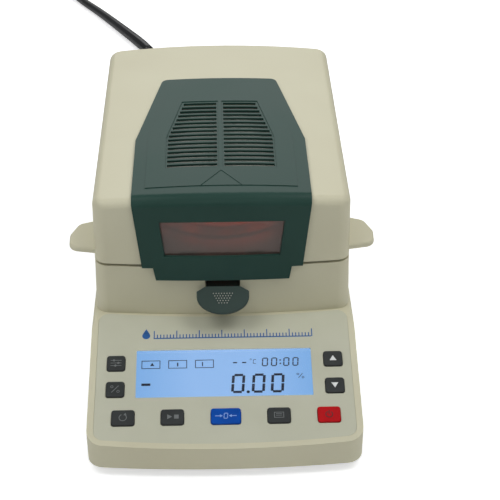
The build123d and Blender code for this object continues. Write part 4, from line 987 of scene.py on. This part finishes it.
            # It rests on the bench, so its nose is as thin as the cord's height leaves room for.
            radius = min(taper, point.z / MM - self.bench_gap / 2)
            turn = ahead.to_track_quat("Z", "Y").to_matrix().to_4x4()
            place = Matrix.Translation(point) @ turn
            made = bmesh.ops.create_circle(bm, segments=self.sleeve_sides, radius=radius * MM, matrix=place)
            rings.append(made["verts"])
        for pair in zip(rings, rings[1:]):
            edges = list({e for loop in pair for v in loop for e in v.link_edges if e.other_vert(v) in loop})
            bmesh.ops.bridge_loops(bm, edges=edges)
        ends = [e for e in bm.edges if e.is_boundary]
        bmesh.ops.holes_fill(bm, edges=ends)
        bmesh.ops.recalc_face_normals(bm, faces=bm.faces)
        for face in bm.faces:
            face.smooth = len(face.verts) == 4
        piece = new_piece("cord_sleeve_moulded", bm, "black_pvc_extruded", "base")
        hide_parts("cord_sleeve")
        return piece

    def build(self) -> None:
        connector = dressed_copy("cord_connector", "black_nylon_moulded", "base", Edge.SOFT)
        plug = dressed_copy("cord_plug", "black_nylon_moulded", "base", Edge.SOFT)
        cord = self.curve("mains_cord", self.radius)
        set_finish(cord, "black_pvc_extruded")
        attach(cord, "base")
        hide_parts("cord_lead", "cord_coil", "cord_run", "cord_tail")
        line = self.centreline()
        sleeve = self.sleeve(line)
        start = tuple(c * MM for c in self.route()[0])


@dataclass(frozen=True)
class Softbox:
    """A square studio lamp: its name, place and aim in metres, its side and its power in watts."""

    name: str
    place: tuple[float, float, float]
    aim: tuple[float, float, float]
    side: float
    watts: float


@dataclass
class Studio:
    """Camera, plain floor and soft light."""

    lens_mm: float = 99.72
    sensor_mm: float = 36.0
    view_reach: float = 50.0
    camera_mm: tuple[float, float, float] = (-3.57, -957.63, 709.34)
    down_deg: float = 33.64
    turn_deg: float = -1.61
    floor_size: float = 12.0
    floor_lift: float = 0.55
    paper: str = "F4F4F4"
    paper_roughness: float = 0.9
    sky_colour: str = "F2F5F8"
    sky: float = 0.31
    softboxes: tuple[Softbox, ...] = (
        Softbox("left_softbox", (-0.85, -0.25, 1.6), (0.0, 0.0, 0.1), 0.9, 8.5),
        Softbox("right_softbox", (0.85, -0.15, 1.6), (0.0, 0.0, 0.1), 0.9, 9.4),
        Softbox("back_softbox", (0.0, 1.75, 1.25), (0.0, 0.0, 0.15), 1.3, 8.5),
        Softbox("front_softbox", (0.0, -1.9, 1.5), (0.0, -0.1, 0.1), 1.0, 3.2))

    def camera(self) -> None:
        """Places the camera at the photograph's viewing angle."""
        data = bpy.data.cameras.new("camera")
        data.lens = self.lens_mm
        data.sensor_width = self.sensor_mm
        data.clip_end = self.view_reach
        camera = bpy.data.objects.new("camera", data)
        down, turn = math.radians(self.down_deg), math.radians(self.turn_deg)
        ahead = Vector((-math.sin(turn) * math.cos(down), math.cos(turn) * math.cos(down), -math.sin(down)))
        right = Vector((math.cos(turn), math.sin(turn), 0))
        up = right.cross(ahead)
        spin = Matrix((right, up, -ahead)).transposed().to_4x4()
        place = Vector(self.camera_mm) - Vector((0, ORIGIN_Y, 0))
        camera.matrix_world = Matrix.Translation(place * MM) @ spin
        bpy.context.scene.collection.objects.link(camera)
        bpy.context.scene.camera = camera

    def floor(self) -> None:
        """Lays a plain white floor that the camera sees as white, with the object's shadow."""
        bm = bmesh.new()
        bmesh.ops.create_grid(bm, x_segments=1, y_segments=1, size=self.floor_size / 2)
        mesh = bpy.data.meshes.new("floor")
        bm.to_mesh(mesh)
        bm.free()
        floor = bpy.data.objects.new("floor", mesh)
        bpy.context.scene.collection.objects.link(floor)
        material, tree, shader = blank_material("white_paper_sweep")
        shader.inputs["Base Color"].default_value = linear(self.paper)
        shader.inputs["Roughness"].default_value = self.paper_roughness
        rays = add_node(tree, "ShaderNodeLightPath")
        # White to the eye and in reflections, plain paper to the light.
        seen = add_node(tree, "ShaderNodeMath", {"operation": "MAXIMUM"})
        tree.links.new(rays.outputs["Is Camera Ray"], seen.inputs[0])
        tree.links.new(rays.outputs["Is Transmission Ray"], seen.inputs[1])
        lift = add_node(tree, "ShaderNodeMath", {"operation": "MULTIPLY"})
        tree.links.new(seen.outputs["Value"], lift.inputs[0])
        lift.inputs[1].default_value = self.floor_lift
        shader.inputs["Emission Color"].default_value = linear("FFFFFF")
        tree.links.new(lift.outputs["Value"], shader.inputs["Emission Strength"])
        mesh.materials.append(material)

    def world(self) -> None:
        """Sets an even grey sky for the light and a white one for the eye."""
        world = bpy.data.worlds.new("studio")
        bpy.context.scene.world = world
        world.use_nodes = True
        tree = world.node_tree
        tree.nodes.clear()
        rays = add_node(tree, "ShaderNodeLightPath")
        light = add_node(tree, "ShaderNodeBackground",
                         {"Color": linear(self.sky_colour), "Strength": self.sky})
        white = add_node(tree, "ShaderNodeBackground", {"Color": linear("FFFFFF"), "Strength": 1.0})
        seen = add_node(tree, "ShaderNodeMixShader")
        tree.links.new(rays.outputs["Is Camera Ray"], seen.inputs[0])
        tree.links.new(light.outputs[0], seen.inputs[1])
        tree.links.new(white.outputs[0], seen.inputs[2])
        add_node(tree, "ShaderNodeOutputWorld", {}, {"Surface": seen.outputs[0]})

    def lamp(self, box: Softbox) -> None:
        """Hangs a soft square lamp.

        Args:
            box: What it is.
        """
        data = bpy.data.lights.new(box.name, "AREA")
        data.size = box.side
        data.energy = box.watts
        lamp = bpy.data.objects.new(box.name, data)
        lamp.location = box.place
        lamp.rotation_euler = (Vector(box.aim) - Vector(box.place)).to_track_quat("-Z", "Y").to_euler()
        bpy.context.scene.collection.objects.link(lamp)

    def build(self) -> None:
        """Builds camera, floor, sky and lamps."""
        self.camera()
        self.floor()
        self.world()
        for box in self.softboxes:
            self.lamp(box)
        bpy.context.scene.view_settings.view_transform = "Standard"


def main() -> None:
    """Builds the whole scene in order."""
    logging.basicConfig(level=logging.INFO, format="%(message)s")
    for part in (Studio(), Cord(), Housing(), Console(), Handler(), Hood()):
        part.build()
        LOG.info("%s done", type(part).__name__)


if __name__ == "__main__":
    main()
